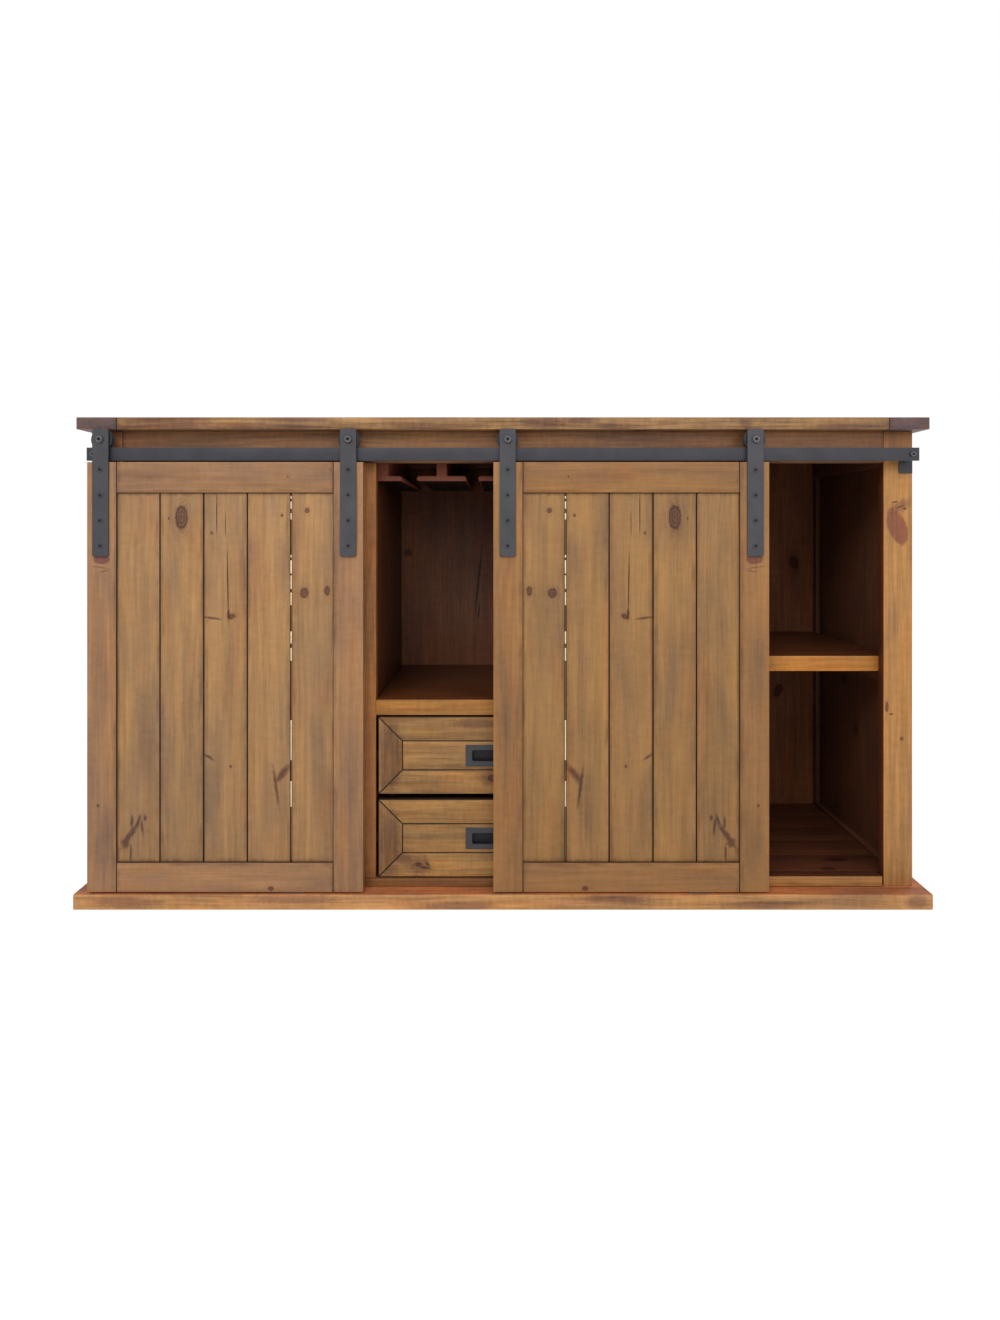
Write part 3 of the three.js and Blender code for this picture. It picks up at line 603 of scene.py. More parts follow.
DOOR_PLANK_MARKS = {
    "knots": marks(
        (174.9, 730, 11.5, 23), (268.4, 545, 7, 4.5, -25), (362.5, 734, 2.5, 3), (409.4, 743, 4.5, 5),
        (403.8, 589, 8, 9.5), (446.9, 593, 5, 9), (266.6, 264.6, 2.2, 3), (151, 728, 1.2, 3),
    ),
    "shade": marks(
        (108, 260, 30, 190), (102, 560, 22, 120), (185, 420, 9, 200), (175, 730, 30, 60),
        (262, 410, 14, 90), (290, 620, 12, 60), (365, 640, 14, 50), (420, 500, 30, 130),
        (435, 240, 16, 120), (335, 200, 10, 70), (226, 200, 12, 60),
    ),
    "smudge": marks(
        (79, 137, 5, 28, 35), (70, 122, 8, 9, 20), (82, 160, 2.6, 12), (94, 163, 2.6, 12, 20),
        (107, 169, 3, 5), (80, 104, 2, 16), (101, 152, 2.2, 15, -5), (363.5, 251, 6, 20, 38),
        (351, 229, 2.8, 34, -8), (225.5, 282.5, 2.6, 10, -58), (262.5, 549, 2.5, 10),
        (232, 542, 16, 2.2, 8), (231, 701, 2.5, 3),
    ),
    "crack": marks((240.6, 737.5, 1, 37.5), (256.9, 718.8, 0.7, 22), (261.2, 603, 1.2, 60, -1)),
}
DOOR_FRAME_MARKS = {
    "knots": marks((20.4, 193, 2.2, 2.5), (342.8, 38.5, 5, 4), (374.5, 806, 1.4, 1.6)),
    # The first two marks, along the top rail under the track bar, are painted shade; the others are the
    # rails' and stiles' own tone.
    "shade": marks(
        (140, 818, 110, 16), (340, 805, 90, 14), (24, 420, 14, 80), (30, 120, 18, 60), (493, 300, 9, 140),
        (130, 60, 60, 12), (485, 700, 12, 60),
    ),
    "oval": marks((27.5, 652, 15.5, 9)),
    "stain": marks((24, 637, 15, 1.2, 8), (33, 630, 10, 1.2, -12)),
}
FACE_STILE_MARKS = {
    "knots": marks((759.4, 309, 3.2, 3.2), (731.4, 370, 3, 10)),
    "oval": marks((751.5, 712, 17.5, 35, -20)),
    # The two wide marks at the stiles' tops are painted shadow under the top's overhang; the third is a real
    # stain.
    "stain": marks((752.5, 890, 80, 45), (-752.5, 890, 80, 45), (756, 752, 20, 10, -25)),
    "crack": marks(
        (745.5, 760, 6, 1.2, -15), (756, 751, 7, 1, -20), (765.5, 747, 3.5, 1.6), (740, 356, 4, 1.4),
    ),
}
DRAWER_MARKS = {
    "knots": marks((-161, 70, 6, 4), (-21.4, 234, 8, 6)),
    "smudge": marks((-149, 63.5, 11, 2.8, 5), (-144, 70, 3, 6, -35)),
    "stain": marks(
        (-190, 80, 30, 12, 20), (-159, 68, 21, 19), (-216, 278, 20, 70), (-216, 110, 20, 60),
        (-22, 236, 25, 16), (-50, 338, 50, 8),
    ),
}
BACK_MARKS = {
    "knots": marks((-228.1, 654, 9, 7.5), (702.4, 630, 10, 15, -20), (663.8, 321, 9, 16, 25)),
    "crack": marks((-59.2, 584, 2.7, 85, 6), (-59, 510, 1.6, 20, 6)),
    # A painted shade over the upper back, under the top and the rack.
    "stain": marks((0, 790, 300, 110)),
}
TOP_STAINS = marks(
    (-640, 907, 85, 40), (-450, 900, 110, 7), (-385, 914, 60, 6), (-120, 900, 80, 5), (75, 907, 40, 12),
    (145, 912, 30, 6), (225, 900, 50, 5), (455, 907, 12, 9), (640, 900, 70, 6),
)
BASE_STAINS = marks(
    (-700, 15, 60, 12), (-380, 20, 90, 8), (-80, 8, 70, 6), (210, 20, 60, 8), (480, 10, 80, 6),
    (770, 15, 20, 12),
)
# A painted pool of light along the front of the partition's inner face.
PARTITION_PAINTED_LIGHT = marks((-190, 610, 26, 300))
SIDE_KNOTS = marks((64, 378, 12, 9), (4, 281, 8, 12))
FLOOR_KNOTS = marks((665.7, -114, 22, 9), (632.3, -157, 12, 6))


def door_ends(door):
    """The lowest corner of a door's left stile and the highest corner of its right one."""
    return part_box(door + "_stile_left")[0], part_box(door + "_stile_right")[1]


def on_door(marks_by_kind, door, is_mirrored):
    """The marks of the left door, placed on a door. Both doors show the same ones, mirrored."""
    low, high = door_ends(door)
    edge, side = (high.x, -1) if is_mirrored else (low.x, 1)
    placed_marks = {}
    for kind, rows in marks_by_kind.items():
        placed_marks[kind] = [(edge + side * across, *rest, side * lean) for across, *rest, lean in rows]
    return placed_marks


def door_top_shadows():
    """Painted shadow: dark marks on the frieze where it shows through the slit over each closed door."""
    shadows = []
    for door in ("left_door", "right_door"):
        low, high = door_ends(door)
        shadows.append(((low.x + high.x) / 2, high.z + SLIT_LIFT, (high.x - low.x) / 2, SLIT_HALF, 0))
    return shadows


def door_finishes(door, planks_tone, frame_tone, is_mirrored):
    planks_marks = on_door(DOOR_PLANK_MARKS, door, is_mirrored)
    frame_marks = on_door(DOOR_FRAME_MARKS, door, is_mirrored)
    planks_wood = pine(door + "_planks", planks_tone, **planks_marks)
    return planks_wood, pine(door + "_frame", frame_tone, wear=0.9, **frame_marks)


left_finishes = door_finishes("left_door", (163, 124, 82), (157, 117, 82), is_mirrored=False)
right_finishes = door_finishes("right_door", (153, 114, 70), (150, 108, 66), is_mirrored=True)
raw_wood = pine("raw_pine", (230, 214, 178), contrast=1.2, cloud=0.2, blush=0.0, dirt=0.0)
carcass = pine("carcass", (168, 122, 74), stray=0.06)
stile_wood = pine("face_stiles", (175, 126, 73), contrast=1.3, wear=0.6, **FACE_STILE_MARKS)
# The stiles' inner sides: a darker inside stain, and painted shade.
stile_side_shaded = pine("face_stile_sides_shaded", (96, 50, 28))
partition_wood = pine("partition_stiles", (152, 100, 56), contrast=1.8)
# The frieze's darker tone also stands in for painted shade under the top's overhang.
frieze_wood_shaded = pine("frieze", (131, 93, 63), contrast=2.0, crack=door_top_shadows())
top_wood = pine("top", (144, 108, 73), contrast=1.8, cloud=0.8, stray=0.10)
top_front = pine("top_front", (150, 114, 76), contrast=2.6, cloud=0.9, stain=TOP_STAINS)
base_wood = pine("base", (192, 142, 90), contrast=1.9, stray=0.05, stain=BASE_STAINS)
base_top = pine("base_top", (178, 108, 66), contrast=1.8, cloud=0.9, blush=0.2, stray=0.05)
end_wood = pine("top_ends", (126, 103, 96), contrast=1.2, cloud=0.7, gold=0.2)
drawer_wood = pine(
    "drawer_fronts", (156, 116, 69), contrast=1.9, wear=0.8, dirt=0.1, joint=1.5, **DRAWER_MARKS,
)
middle_shelf_wood = pine("middle_shelf_edge", (163, 112, 55), contrast=1.6)
side_shelf_wood = pine("side_shelf_edges", (184, 121, 52), contrast=1.6)
rail_wood = pine("floor_rails", (172, 121, 68), contrast=1.5, wear=0.8)
# The middle bay's rail is a darker board, and its tone also holds painted shade from the doors in front of
# it.
middle_rail_shaded = pine("middle_rail_shaded", (124, 83, 49), contrast=1.4)
# The inner faces take darker finishes: a darker inside stain, and painted shade for the light that falls off
# inside the carcass.
partition_inside_shaded = pine("partition_inside_shaded", (80, 44, 26), wear=0.9, roughness=0.42, plane=(1, 2), glow=PARTITION_PAINTED_LIGHT)
back_inside_shaded = pine("back_inside_shaded", (134, 84, 56), contrast=1.6, roughness=0.42, **BACK_MARKS)
wall_inside_shaded = pine(
    "wall_inside_shaded", (94, 58, 40), knots=SIDE_KNOTS, plane=(1, 2), contrast=1.2, wear=1.4, roughness=0.42,
)
floor_inside_shaded = pine(
    "floor_inside_shaded", (89, 51, 33), knots=FLOOR_KNOTS, plane=(0, 1), contrast=1.4, wear=1.0, roughness=0.40,
)
shelf_inside_shaded = pine("shelf_inside_shaded", (88, 49, 27), contrast=1.3, roughness=0.40)
box_wood = pine("drawer_boxes", (150, 112, 74), bare=1)
rack_wood = pine("rack", (142, 82, 58), contrast=1.2)
# Painted shade: the rack's undersides near black
rack_underside_shade = pine("rack_undersides_shade", (26, 14, 11))
painted_steel = steel("painted_steel", (66, 66, 70))
track_steel = steel("track_steel", (55, 55, 60))
# Dark steel, painted darker still as shade behind the straps
wheel_steel_shaded = steel("wheel_steel_shaded", (42, 42, 46), roughness=0.45)
# Painted shade: the pulls' recesses near black
recess_steel_shaded = steel("recess_steel_shaded", (33, 33, 37), metallic=0.2)
bolt_steel = steel("bolt_steel", (88, 88, 91), roughness=0.36, metallic=0.4)
# Painted shade: the sockets of screws and bolts near black
socket_steel_shaded = steel("socket_steel_shaded", (14, 14, 16), roughness=0.6)
pull_steel = steel("pull_steel", (60, 61, 65), roughness=0.42, metallic=0.2)


# Boards

chance = random.Random(7)


def rectangle(low, high):
    return [(low[0], low[1]), (high[0], low[1]), (high[0], high[1]), (low[0], high[1])]


def board(outline, axis, start, end, grain, joints="", hole=None, finish=0, other_faces=""):
    """A prism over an outline. Axis 2 runs up from an outline in X and Y, and axis 1 runs back from
    one in X and Z. Joints names the faces where dark stain collects, such as x- or z+, or edges,
    for all the sides of the outline. Other faces have the piece's second finish."""
    return SimpleNamespace(
        outline=outline, axis=axis, start=start, end=end, grain=grain, hole=hole, finish=finish,
        joints=joints.split(), other_faces=other_faces.split(), number=chance.random(),
    )


def block(low, high, grain, joints="", finish=0, other_faces=""):
    outline = rectangle(low, high)
    return board(outline, 2, low[2], high[2], grain, joints, finish=finish, other_faces=other_faces)


def planks(low, high, across, grain, joints="", count=None, gaps=None, finish=0, is_stained=True):
    """The box from low to high as planks side by side along the axis across."""
    width = high[across] - low[across]
    count = count or max(1, round(width / PLANK_WIDTH))
    gaps = gaps or [0.0] * (count - 1)
    made = []
    for index in range(count):
        first, last = Vector(low), Vector(high)
        inner = []
        first[across] = low[across] + width * index / count
        last[across] = low[across] + width * (index + 1) / count
        if index > 0:
            first[across] += gaps[index - 1] / 2
            inner.append("xyz"[across] + "-")
        if index < count - 1:
            last[across] -= gaps[index] / 2
            inner.append("xyz"[across] + "+")
        stained = " ".join([joints, *inner]) if is_stained else joints
        made.append(block(first, last, grain, stained, finish))
    return made


def placed(point, axis, along):
    return Vector((point[0], point[1], along)) if axis == 2 else Vector((point[0], along, point[1]))


def face_direction(name):
    """The direction out of the face that a name such as x- or z+ stands for."""
    outward = Vector((0, 0, 0))
    outward["xyz".index(name[0])] = -1 if name[1] == "-" else 1
    return outward


def joint_planes(spec, low, high):
    """The planes of a board's joints, each as a point on it and the direction into the board."""
    planes = []
    for name in spec.joints:
        if name != "edges":
            planes.append((low if name[1] == "-" else high, -face_direction(name)))
            continue
        points = spec.outline
        centre = [sum(point[i] for point in points) / len(points) for i in (0, 1)]
        middle = placed(centre, spec.axis, spec.start)
        for first, second in zip(points, points[1:] + points[:1]):
            start, end = (placed(point, spec.axis, spec.start) for point in (first, second))
            inward = placed((0, 0), spec.axis, 1).cross(end - start).normalized()
            planes.append((start, inward if inward.dot(middle - start) > 0 else -inward))
    return planes


def ease_edges(mesh, edges, arris):
    """Bevels the edges and gives the faces that this makes."""
    made = bmesh.ops.bevel(mesh, geom=edges, offset=arris, segments=ARRIS_STEPS, profile=0.5, affect="EDGES")
    mesh.normal_update()
    mesh.faces.index_update()
    mesh.verts.index_update()
    return made["faces"]


def board_mesh(spec, arris):
    mesh = bmesh.new()
    rings = []
    for outline in filter(None, (spec.outline, spec.hole)):
        rings.append([[mesh.verts.new(placed(point, spec.axis, along)) for point in outline]
                      for along in (spec.start, spec.end)])
    for near, far in rings:
        for index in range(len(near)):
            after = (index + 1) % len(near)
            mesh.faces.new((near[index], near[after], far[after], far[index]))
    for level in (0, 1):
        if not spec.hole:
            mesh.faces.new(rings[0][level])
            continue
        outer, inner = rings[0][level], rings[1][level]
        for index in range(4):
            after = (index + 1) % 4
            mesh.faces.new((outer[index], outer[after], inner[after], inner[index]))
    bmesh.ops.recalc_face_normals(mesh, faces=mesh.faces[:])
    sharp = [edge for edge in mesh.edges if edge.calc_face_angle(0) > SHARP_WOOD]
    return mesh, {face.index for face in ease_edges(mesh, sharp, arris)}


def boards_piece(name, specs, finishes, arris):
    """One piece of many boards, with the attributes that the pine material reads."""
    points, faces, place, number, ends, arrises, slots = [], [], [], [], [], [], []
    joints = {"joints_a": [], "joints_b": []}
    for spec in specs:
        mesh, worn = board_mesh(spec, arris)
        low = Vector(min(vertex.co[i] for vertex in mesh.verts) for i in range(3))
        high = Vector(max(vertex.co[i] for vertex in mesh.verts) for i in range(3))
        middle = (low + high) / 2
        planes = joint_planes(spec, low, high)
        other_faces = [face_direction(face) for face in spec.other_faces]
        grain = "XYZ".index(spec.grain)
        across, through = sorted(set(range(3)) - {grain}, key=lambda i: low[i] - high[i])
        pith_across = (spec.number - 0.5) * PITH_SPREAD
        pith_through = PITH_DEPTH + PITH_DEPTH_SPREAD * (spec.number * PITH_SHUFFLE % 1)
        first = len(points)
        for vertex in mesh.verts:
            spot = vertex.co
            points.append(spot.copy())
            place.extend((spot[grain], spot[across] - middle[across] + pith_across,
                          spot[through] - middle[through] + pith_through))
            gaps = [(spot - start).dot(inward) for start, inward in planes] + [NO_JOINT] * 6
            joints["joints_a"].extend(gaps[:3])
            joints["joints_b"].extend(gaps[3:6])
            number.append(spec.number)
        for face in mesh.faces:
            faces.append([first + vertex.index for vertex in face.verts])
            ends.append(float(abs(face.normal[grain]) > ALMOST_ALONG))
            arrises.append(float(face.index in worn))
            is_other = any(face.normal.dot(outward) > ALMOST_ALONG for outward in other_faces)
            slots.append(1 if is_other else spec.finish)
        mesh.free()
    data = bpy.data.meshes.new(name)
    data.from_pydata(points, [], faces)
    for key, values in (("board_place", place), *joints.items()):
        data.attributes.new(key, "FLOAT_VECTOR", "POINT").data.foreach_set("vector", values)
    data.attributes.new("board_number", "FLOAT", "POINT").data.foreach_set("value", number)
    data.attributes.new("end_grain", "FLOAT", "FACE").data.foreach_set("value", ends)
    data.attributes.new("arris", "FLOAT", "FACE").data.foreach_set("value", arrises)
    data.polygons.foreach_set("material_index", slots)
    return finished(name, data, finishes, SMOOTH_WOOD)


def wood(node, specs, *finishes, arris=ARRIS):
    """Boards in place of a node."""
    piece = boards_piece("wood_" + node, specs, finishes, arris)
    dress(piece, node)


def whole(node, grain, joints, *finishes, arris=ARRIS, other_faces=""):
    """One board that fills the node's box."""
    low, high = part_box(node)
    wood(node, [block(low, high, grain, joints, other_faces=other_faces)], *finishes, arris=arris)


# Top, base and face frame

top_low, top_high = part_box("top_panel")
top_boards = planks(top_low, top_high, 1, "X", "x- x+")
top_boards[0].other_faces = ["y-"]
wood("top_panel", top_boards, top_wood, top_front)
whole("top_end_left", "Y", "x+", end_wood)
whole("top_end_right", "Y", "x-", end_wood)
base_low, base_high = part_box("base_board")
wood("base_board", [block(base_low, base_high, "X", other_faces="z+")], base_wood, base_top)
# The darkening beside each face stile's top joint also stands in for painted shadow under the top's overhang.
whole("face_stile_left", "Z", "z+", stile_wood, stile_side_shaded, other_faces="x+")
whole("face_stile_right", "Z", "z+", stile_wood, stile_side_shaded, other_faces="x-")
whole("partition_stile_left", "Z", "z+", partition_wood)
whole("partition_stile_right", "Z", "z+", partition_wood)
whole("frieze_rail", "X", "x- x+", frieze_wood_shaded)


# Sides: planks with a dark inner face, also painted shade, and their batten, strips and cleat

def side_boards(hand):
    low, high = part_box("side_panel_" + hand)
    outer, inward = (high.x, -1) if hand == "right" else (low.x, 1)
    inner = outer + inward * SIDE_THICKNESS
    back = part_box("floor_panel")[1].y
    floor_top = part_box("partition_right")[0].z
    shelf_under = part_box("side_shelf_right")[0].z - SEAT_GAP
    cleat_low = shelf_under - SIDE_CLEAT_HEIGHT
    batten_low = high.z - BATTEN_HEIGHT
    strip_front = back - CORNER_STRIP_DEPTH

    def against_wall(thickness, front, rear, bottom, top, grain):
        near, far = sorted((inner, inner + inward * thickness))
        return block((near, front, bottom), (far, rear, top), grain, finish=1)

    wall_low, wall_high = sorted((inner - inward * INNER_FACE, outer))
    return planks((wall_low, low.y, low.z), (wall_high, high.y, high.z), 1, "Z") + [
        against_wall(-INNER_FACE, low.y, high.y, low.z, high.z, "Z"),
        against_wall(BATTEN_THICKNESS, low.y, back, batten_low, high.z, "Y"),
        against_wall(STRIP_SIZE, low.y, back, floor_top, floor_top + STRIP_SIZE, "Y"),
        against_wall(STRIP_SIZE, strip_front, back, floor_top + STRIP_SIZE, batten_low, "Z"),
        against_wall(SIDE_CLEAT_THICKNESS, low.y, strip_front, cleat_low, shelf_under, "Y"),
    ]


for hand in ("left", "right"):
    wood("side_panel_" + hand, side_boards(hand), carcass, wall_inside_shaded)


# Partitions with their shelf cleats

def partition_boards(hand):
    low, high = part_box("partition_" + hand)
    middle_end, outward = (low.x, 1) if hand == "right" else (high.x, -1)
    inner = middle_end + outward * MIDDLE_CLEAT_THICKNESS
    outer = inner + outward * PARTITION_THICKNESS
    side_end = outer + outward * SIDE_CLEAT_THICKNESS
    side_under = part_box("side_shelf_left")[0].z - SEAT_GAP
    middle_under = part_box("center_shelf")[0].z - SEAT_GAP

    def upright(first, second, bottom, top, grain):
        near, far = sorted((first, second))
        return block((near, low.y, bottom), (far, high.y, top), grain)

    return [
        upright(inner, outer, low.z, high.z, "Z"),
        upright(outer, side_end, side_under - SIDE_CLEAT_HEIGHT, side_under, "Y"),
        upright(middle_end, inner, middle_under - MIDDLE_CLEAT_HEIGHT, middle_under, "Y"),
    ]


for hand in ("left", "right"):
    wood("partition_" + hand, partition_boards(hand), partition_inside_shaded, arris=PLANK_ARRIS)

# Back: planks with a dark inner face, also painted shade, and a rail under the top

back_low, back_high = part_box("back_panel")
inner_back = back_high.y - BACK_THICKNESS
back_split = inner_back + INNER_FACE
rail_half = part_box("rack_wall_rail_right")[1].x
wood("back_panel", planks((back_low.x, back_split, back_low.z), back_high, 0, "Z") + [
    block((back_low.x, inner_back, back_low.z), (back_high.x, back_split, back_high.z), "Z", finish=1),
    block((-rail_half, back_low.y, back_high.z - BACK_RAIL_HEIGHT), (rail_half, inner_back, back_high.z), "X",
          finish=1),
], carcass, back_inside_shaded)

# Floor: planks behind a front strip that shows as the bottom rails, lower in the middle bay

floor_low, floor_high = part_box("floor_panel")
strip_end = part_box("frieze_rail")[1].x - FLOOR_END_GAP
middle_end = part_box("partition_stile_right")[1].x + SEAT_GAP
strip_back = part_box("partition_left")[0].y


def front_strip(first, last, top, **looks):
    return block((first, floor_low.y, floor_low.z), (last, strip_back, top), "X", **looks)


wood("floor_panel", [
    *planks((floor_low.x, strip_back, floor_low.z), floor_high, 1, "X", finish=1, is_stained=False),
    front_strip(-strip_end, -middle_end, floor_high.z, joints="z-", other_faces="z+"),
    front_strip(middle_end, strip_end, floor_high.z, joints="z-", other_faces="z+"),
    front_strip(-middle_end, middle_end, floor_high.z - FLOOR_REBATE_DEPTH, finish=2),
], rail_wood, floor_inside_shaded, middle_rail_shaded, arris=PLANK_ARRIS)

# Shelves: the front edges in their own tone, the tops and undersides painted darker as shade.
for node in ("center_shelf", "side_shelf_left", "side_shelf_right"):
    shelf_low, shelf_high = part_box(node)
    edge_wood = middle_shelf_wood if node == "center_shelf" else side_shelf_wood
    wood(node, [block(shelf_low, shelf_high, "X", other_faces="z- z+")], edge_wood, shelf_inside_shaded)


# Stemware rack

def arc(x, z, radius, start, end, steps):
    angles = [math.radians(start + (end - start) * step / steps) for step in range(steps + 1)]
    return [(x + radius * math.cos(angle), z + radius * math.sin(angle)) for angle in angles]


def rack_outline(node):
    low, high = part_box(node)
    radius = RACK_FLANGE_THICKNESS / 2
    flange_top = low.z + RACK_FLANGE_THICKNESS
    right_round = arc(high.x - radius, low.z + radius, radius, -90, 90, RACK_ROUND_STEPS)
    left_round = arc(low.x + radius, low.z + radius, radius, 90, 270, RACK_ROUND_STEPS)
    if node.endswith("wall_rail_left"):
        stem = low.x + WALL_RAIL_STEM
        return right_round + [(stem, flange_top), (stem, high.z), (low.x, high.z), (low.x, low.z)]
    if node.endswith("wall_rail_right"):
        stem = high.x - WALL_RAIL_STEM
        return left_round + [(high.x, low.z), (high.x, high.z), (stem, high.z), (stem, flange_top)]
    middle = (low.x + high.x) / 2
    near, far = middle - RACK_STEM / 2, middle + RACK_STEM / 2
    return right_round + [(far, flange_top), (far, high.z), (near, high.z), (near, flange_top)] + left_round


for node in [name for name in frame["nodes"] if name.startswith("rack_")]:
    rail_low, rail_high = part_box(node)
    rail = board(rack_outline(node), 1, rail_low.y, rail_high.y, "Y", other_faces="z-")
    wood(node, [rail], rack_wood, rack_underside_shade)


# Drawers: a mitred frame round a middle board with the pull's recess in it

def drawer_boards(level):
    low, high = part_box(level + "_drawer_front")
    middle = box_with_middle(level + "_drawer_pull")[2]
    half_width = PULL_CUP_WIDTH / 2 + PULL_WALL + SEAT_GAP
    half_height = PULL_CUP_HEIGHT / 2 + PULL_WALL + SEAT_GAP
    inset = DRAWER_FRAME_WIDTH
    outer = rectangle((low.x, low.z), (high.x, high.z))
    inner = rectangle((low.x + inset, low.z + inset), (high.x - inset, high.z - inset))
    hole = rectangle(
        (middle.x - half_width, middle.z - half_height), (middle.x + half_width, middle.z + half_height),
    )
    made = []
    for index, grain in enumerate("XZXZ"):
        after = (index + 1) % 4
        corners = [outer[index], outer[after], inner[after], inner[index]]
        made.append(board(corners, 1, low.y, high.y, grain, "edges"))
    made.append(board(inner, 1, low.y, high.y, "X", "edges", hole=hole))
    return made


for level in ("upper", "lower"):
    wood(level + "_drawer_front", drawer_boards(level), drawer_wood)


def refinish(node, finish):
    """Another finish on a solid that is shown as it is."""
    materials = frame["nodes"][node].data.materials
    materials.clear()
    materials.append(finish)


for node in frame["nodes"]:
    if node.endswith("drawer_box") or node.startswith("drawer_runner"):
        refinish(node, box_wood)


# Doors: planks in a frame, with a tongue in each joint that shows pale in the widest one

def door_planks(door, is_mirrored):
    low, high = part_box(door + "_planks")
    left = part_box(door + "_stile_left")[1].x - DOOR_TUCK
    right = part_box(door + "_stile_right")[0].x + DOOR_TUCK
    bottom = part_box(door + "_rail_bottom")[1].z - DOOR_TUCK
    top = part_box(door + "_rail_top")[0].z + DOOR_TUCK
    gaps = DOOR_PLANK_GAPS[::-1] if is_mirrored else DOOR_PLANK_GAPS
    count = len(gaps) + 1
    made = planks((left, low.y, bottom), (right, high.y, top), 0, "Z", "x- x+ z- z+", count, gaps)
    front, rear = low.y + TONGUE_SETBACK, high.y - TONGUE_SETBACK
    pale_front = low.y + PALE_SETBACK
    for index, gap in enumerate(gaps):
        middle = left + (right - left) * (index + 1) / count
        near, far = middle - gap / 2, middle + gap / 2
        start = bottom
        for pale_start, pale_end in PALE_TONGUES if gap == max(gaps) else ():
            made.append(block((near, front, start), (far, rear, pale_start), "Z", "x- x+"))
            made.append(block((near, pale_front, pale_start), (far, rear, pale_end), "Z", finish=1))
            start = pale_end
        made.append(block((near, front, start), (far, rear, top), "Z", "x- x+"))
    return made


def make_door_wood(door, planks_wood, frame_wood, is_mirrored):
    for name, grain, joints in (
        ("_stile_left", "Z", "x+"), ("_stile_right", "Z", "x-"),
        ("_rail_top", "X", "x- x+ z-"), ("_rail_bottom", "X", "x- x+ z+"),
    ):
        whole(door + name, grain, joints, frame_wood, arris=FRAME_ARRIS)
    wood(door + "_planks", door_planks(door, is_mirrored), planks_wood, raw_wood, arris=PLANK_ARRIS)


make_door_wood("left_door", *left_finishes, is_mirrored=False)
make_door_wood("right_door", *right_finishes, is_mirrored=True)


# Steel forms, each added to a mesh

def add_plate(mesh, low, high):
    """A flat bar with eased edges."""
    corners = [mesh.verts.new((x, y, z)) for z in (low[2], high[2]) for x, y in rectangle(low, high)]
    sides = [(corners[i], corners[(i + 1) % 4], corners[(i + 1) % 4 + 4], corners[i + 4]) for i in range(4)]
    faces = [mesh.faces.new(side) for side in sides + [corners[:4], corners[4:]]]
    bmesh.ops.recalc_face_normals(mesh, faces=faces)
    edges = dict.fromkeys(edge for face in faces for edge in face.edges)
    worn = mesh.faces.layers.float["arris"]
    for face in ease_edges(mesh, list(edges), STEEL_ARRIS):
        face[worn] = 1.0


def eased(points, radius):
    """A profile with each of its corners rounded, as far as its sides allow."""
    made = [Vector(points[0])]
    for before, corner, after in zip(map(Vector, points), map(Vector, points[1:]), map(Vector, points[2:])):
        reach = min(radius, (before - corner).length / 2, (after - corner).length / 2)
        start = corner + (before - corner).normalized() * reach
        end = corner + (after - corner).normalized() * reach
        for step in range(EASE_STEPS + 1):
            share = step / EASE_STEPS
            made.append(start.lerp(corner, share).lerp(corner.lerp(end, share), share))
    return made + [Vector(points[-1])]


def add_rings(mesh, rings, other_levels=(), finish=0):
    """Faces between each ring of points and the next. Those at the other levels have finish 1."""
    made = [[mesh.verts.new(point) for point in ring] for ring in rings]
    sides = max(len(ring) for ring in made)
    for level, (near, far) in enumerate(zip(made, made[1:])):
        for index in range(sides):
            after = (index + 1) % sides
            corners = [near[index % len(near)], near[after % len(near)],
                       far[after % len(far)], far[index % len(far)]]
            face = mesh.faces.new(dict.fromkeys(corners))
            face.material_index = 1 if level in other_levels else finish
    return made


def cap_ends(mesh, rings, last_finish=0):
    mesh.faces.new(rings[0])
    mesh.faces.new(rings[-1]).material_index = last_finish


def rounded_loop(middle, half_width, half_height, radius, y):
    points = []
    for corner, (side_x, side_z) in enumerate(((1, 1), (-1, 1), (-1, -1), (1, -1))):
        centre_x = middle.x + side_x * (half_width - radius)
        centre_z = middle.z + side_z * (half_height - radius)
        corner_arc = arc(centre_x, centre_z, radius, 90 * corner, 90 * corner + 90, CORNER_STEPS)
        points += [(x, y, z) for x, z in corner_arc]
    return points


def tube(inner, outer, front, back):
    """The profile of a plain ring, or of a rod where the inner radius is zero."""
    return [(inner, front), (outer, front), (outer, back), (inner, back)]


def add_turned(mesh, x, z, profile, hexagon_points=0, other_levels=(), finish=0):
    """Turns a profile of radius and place on the axis, which is along Y. Its first few points make
    hexagons, whose flats are at the radius."""
    rings = []
    for level, (radius, y) in enumerate(profile):
        if radius == 0.0:
            rings.append([(x, y, z)])
            continue
        ring = []
        for side in range(TURNED_SIDES):
            angle = 2 * math.pi * side / TURNED_SIDES
            flat = (angle + math.pi / 6) % (math.pi / 3) - math.pi / 6
            reach = radius / math.cos(flat) if level < hexagon_points else radius
            ring.append((x + reach * math.cos(angle), y, z + reach * math.sin(angle)))
        rings.append(ring)
    add_rings(mesh, rings, other_levels, finish)


def add_socket_head(mesh, x, z, front, back, radius, socket, ease, finish=0):
    """A screw's round head with a hexagonal socket, whose inside takes the second finish, a painted shade."""
    floor = front + min(SOCKET_DEPTH, (back - front) * SOCKET_SHARE)
    land = socket / math.cos(math.pi / 6) + SOCKET_LAND
    rim = eased([(land, front), (radius, front), (radius, back), (0.0, back)], ease)
    profile = [(0.0, floor), (socket, floor), (socket, front + SOCKET_LAND), *rim]
    add_turned(mesh, x, z, profile, hexagon_points=3, other_levels=range(2), finish=finish)


def steel_piece(name, mesh, *finishes):
    data = bpy.data.meshes.new(name)
    bmesh.ops.recalc_face_normals(mesh, faces=mesh.faces[:])
    mesh.to_mesh(data)
    mesh.free()
    return finished(name, data, finishes, SMOOTH_STEEL)


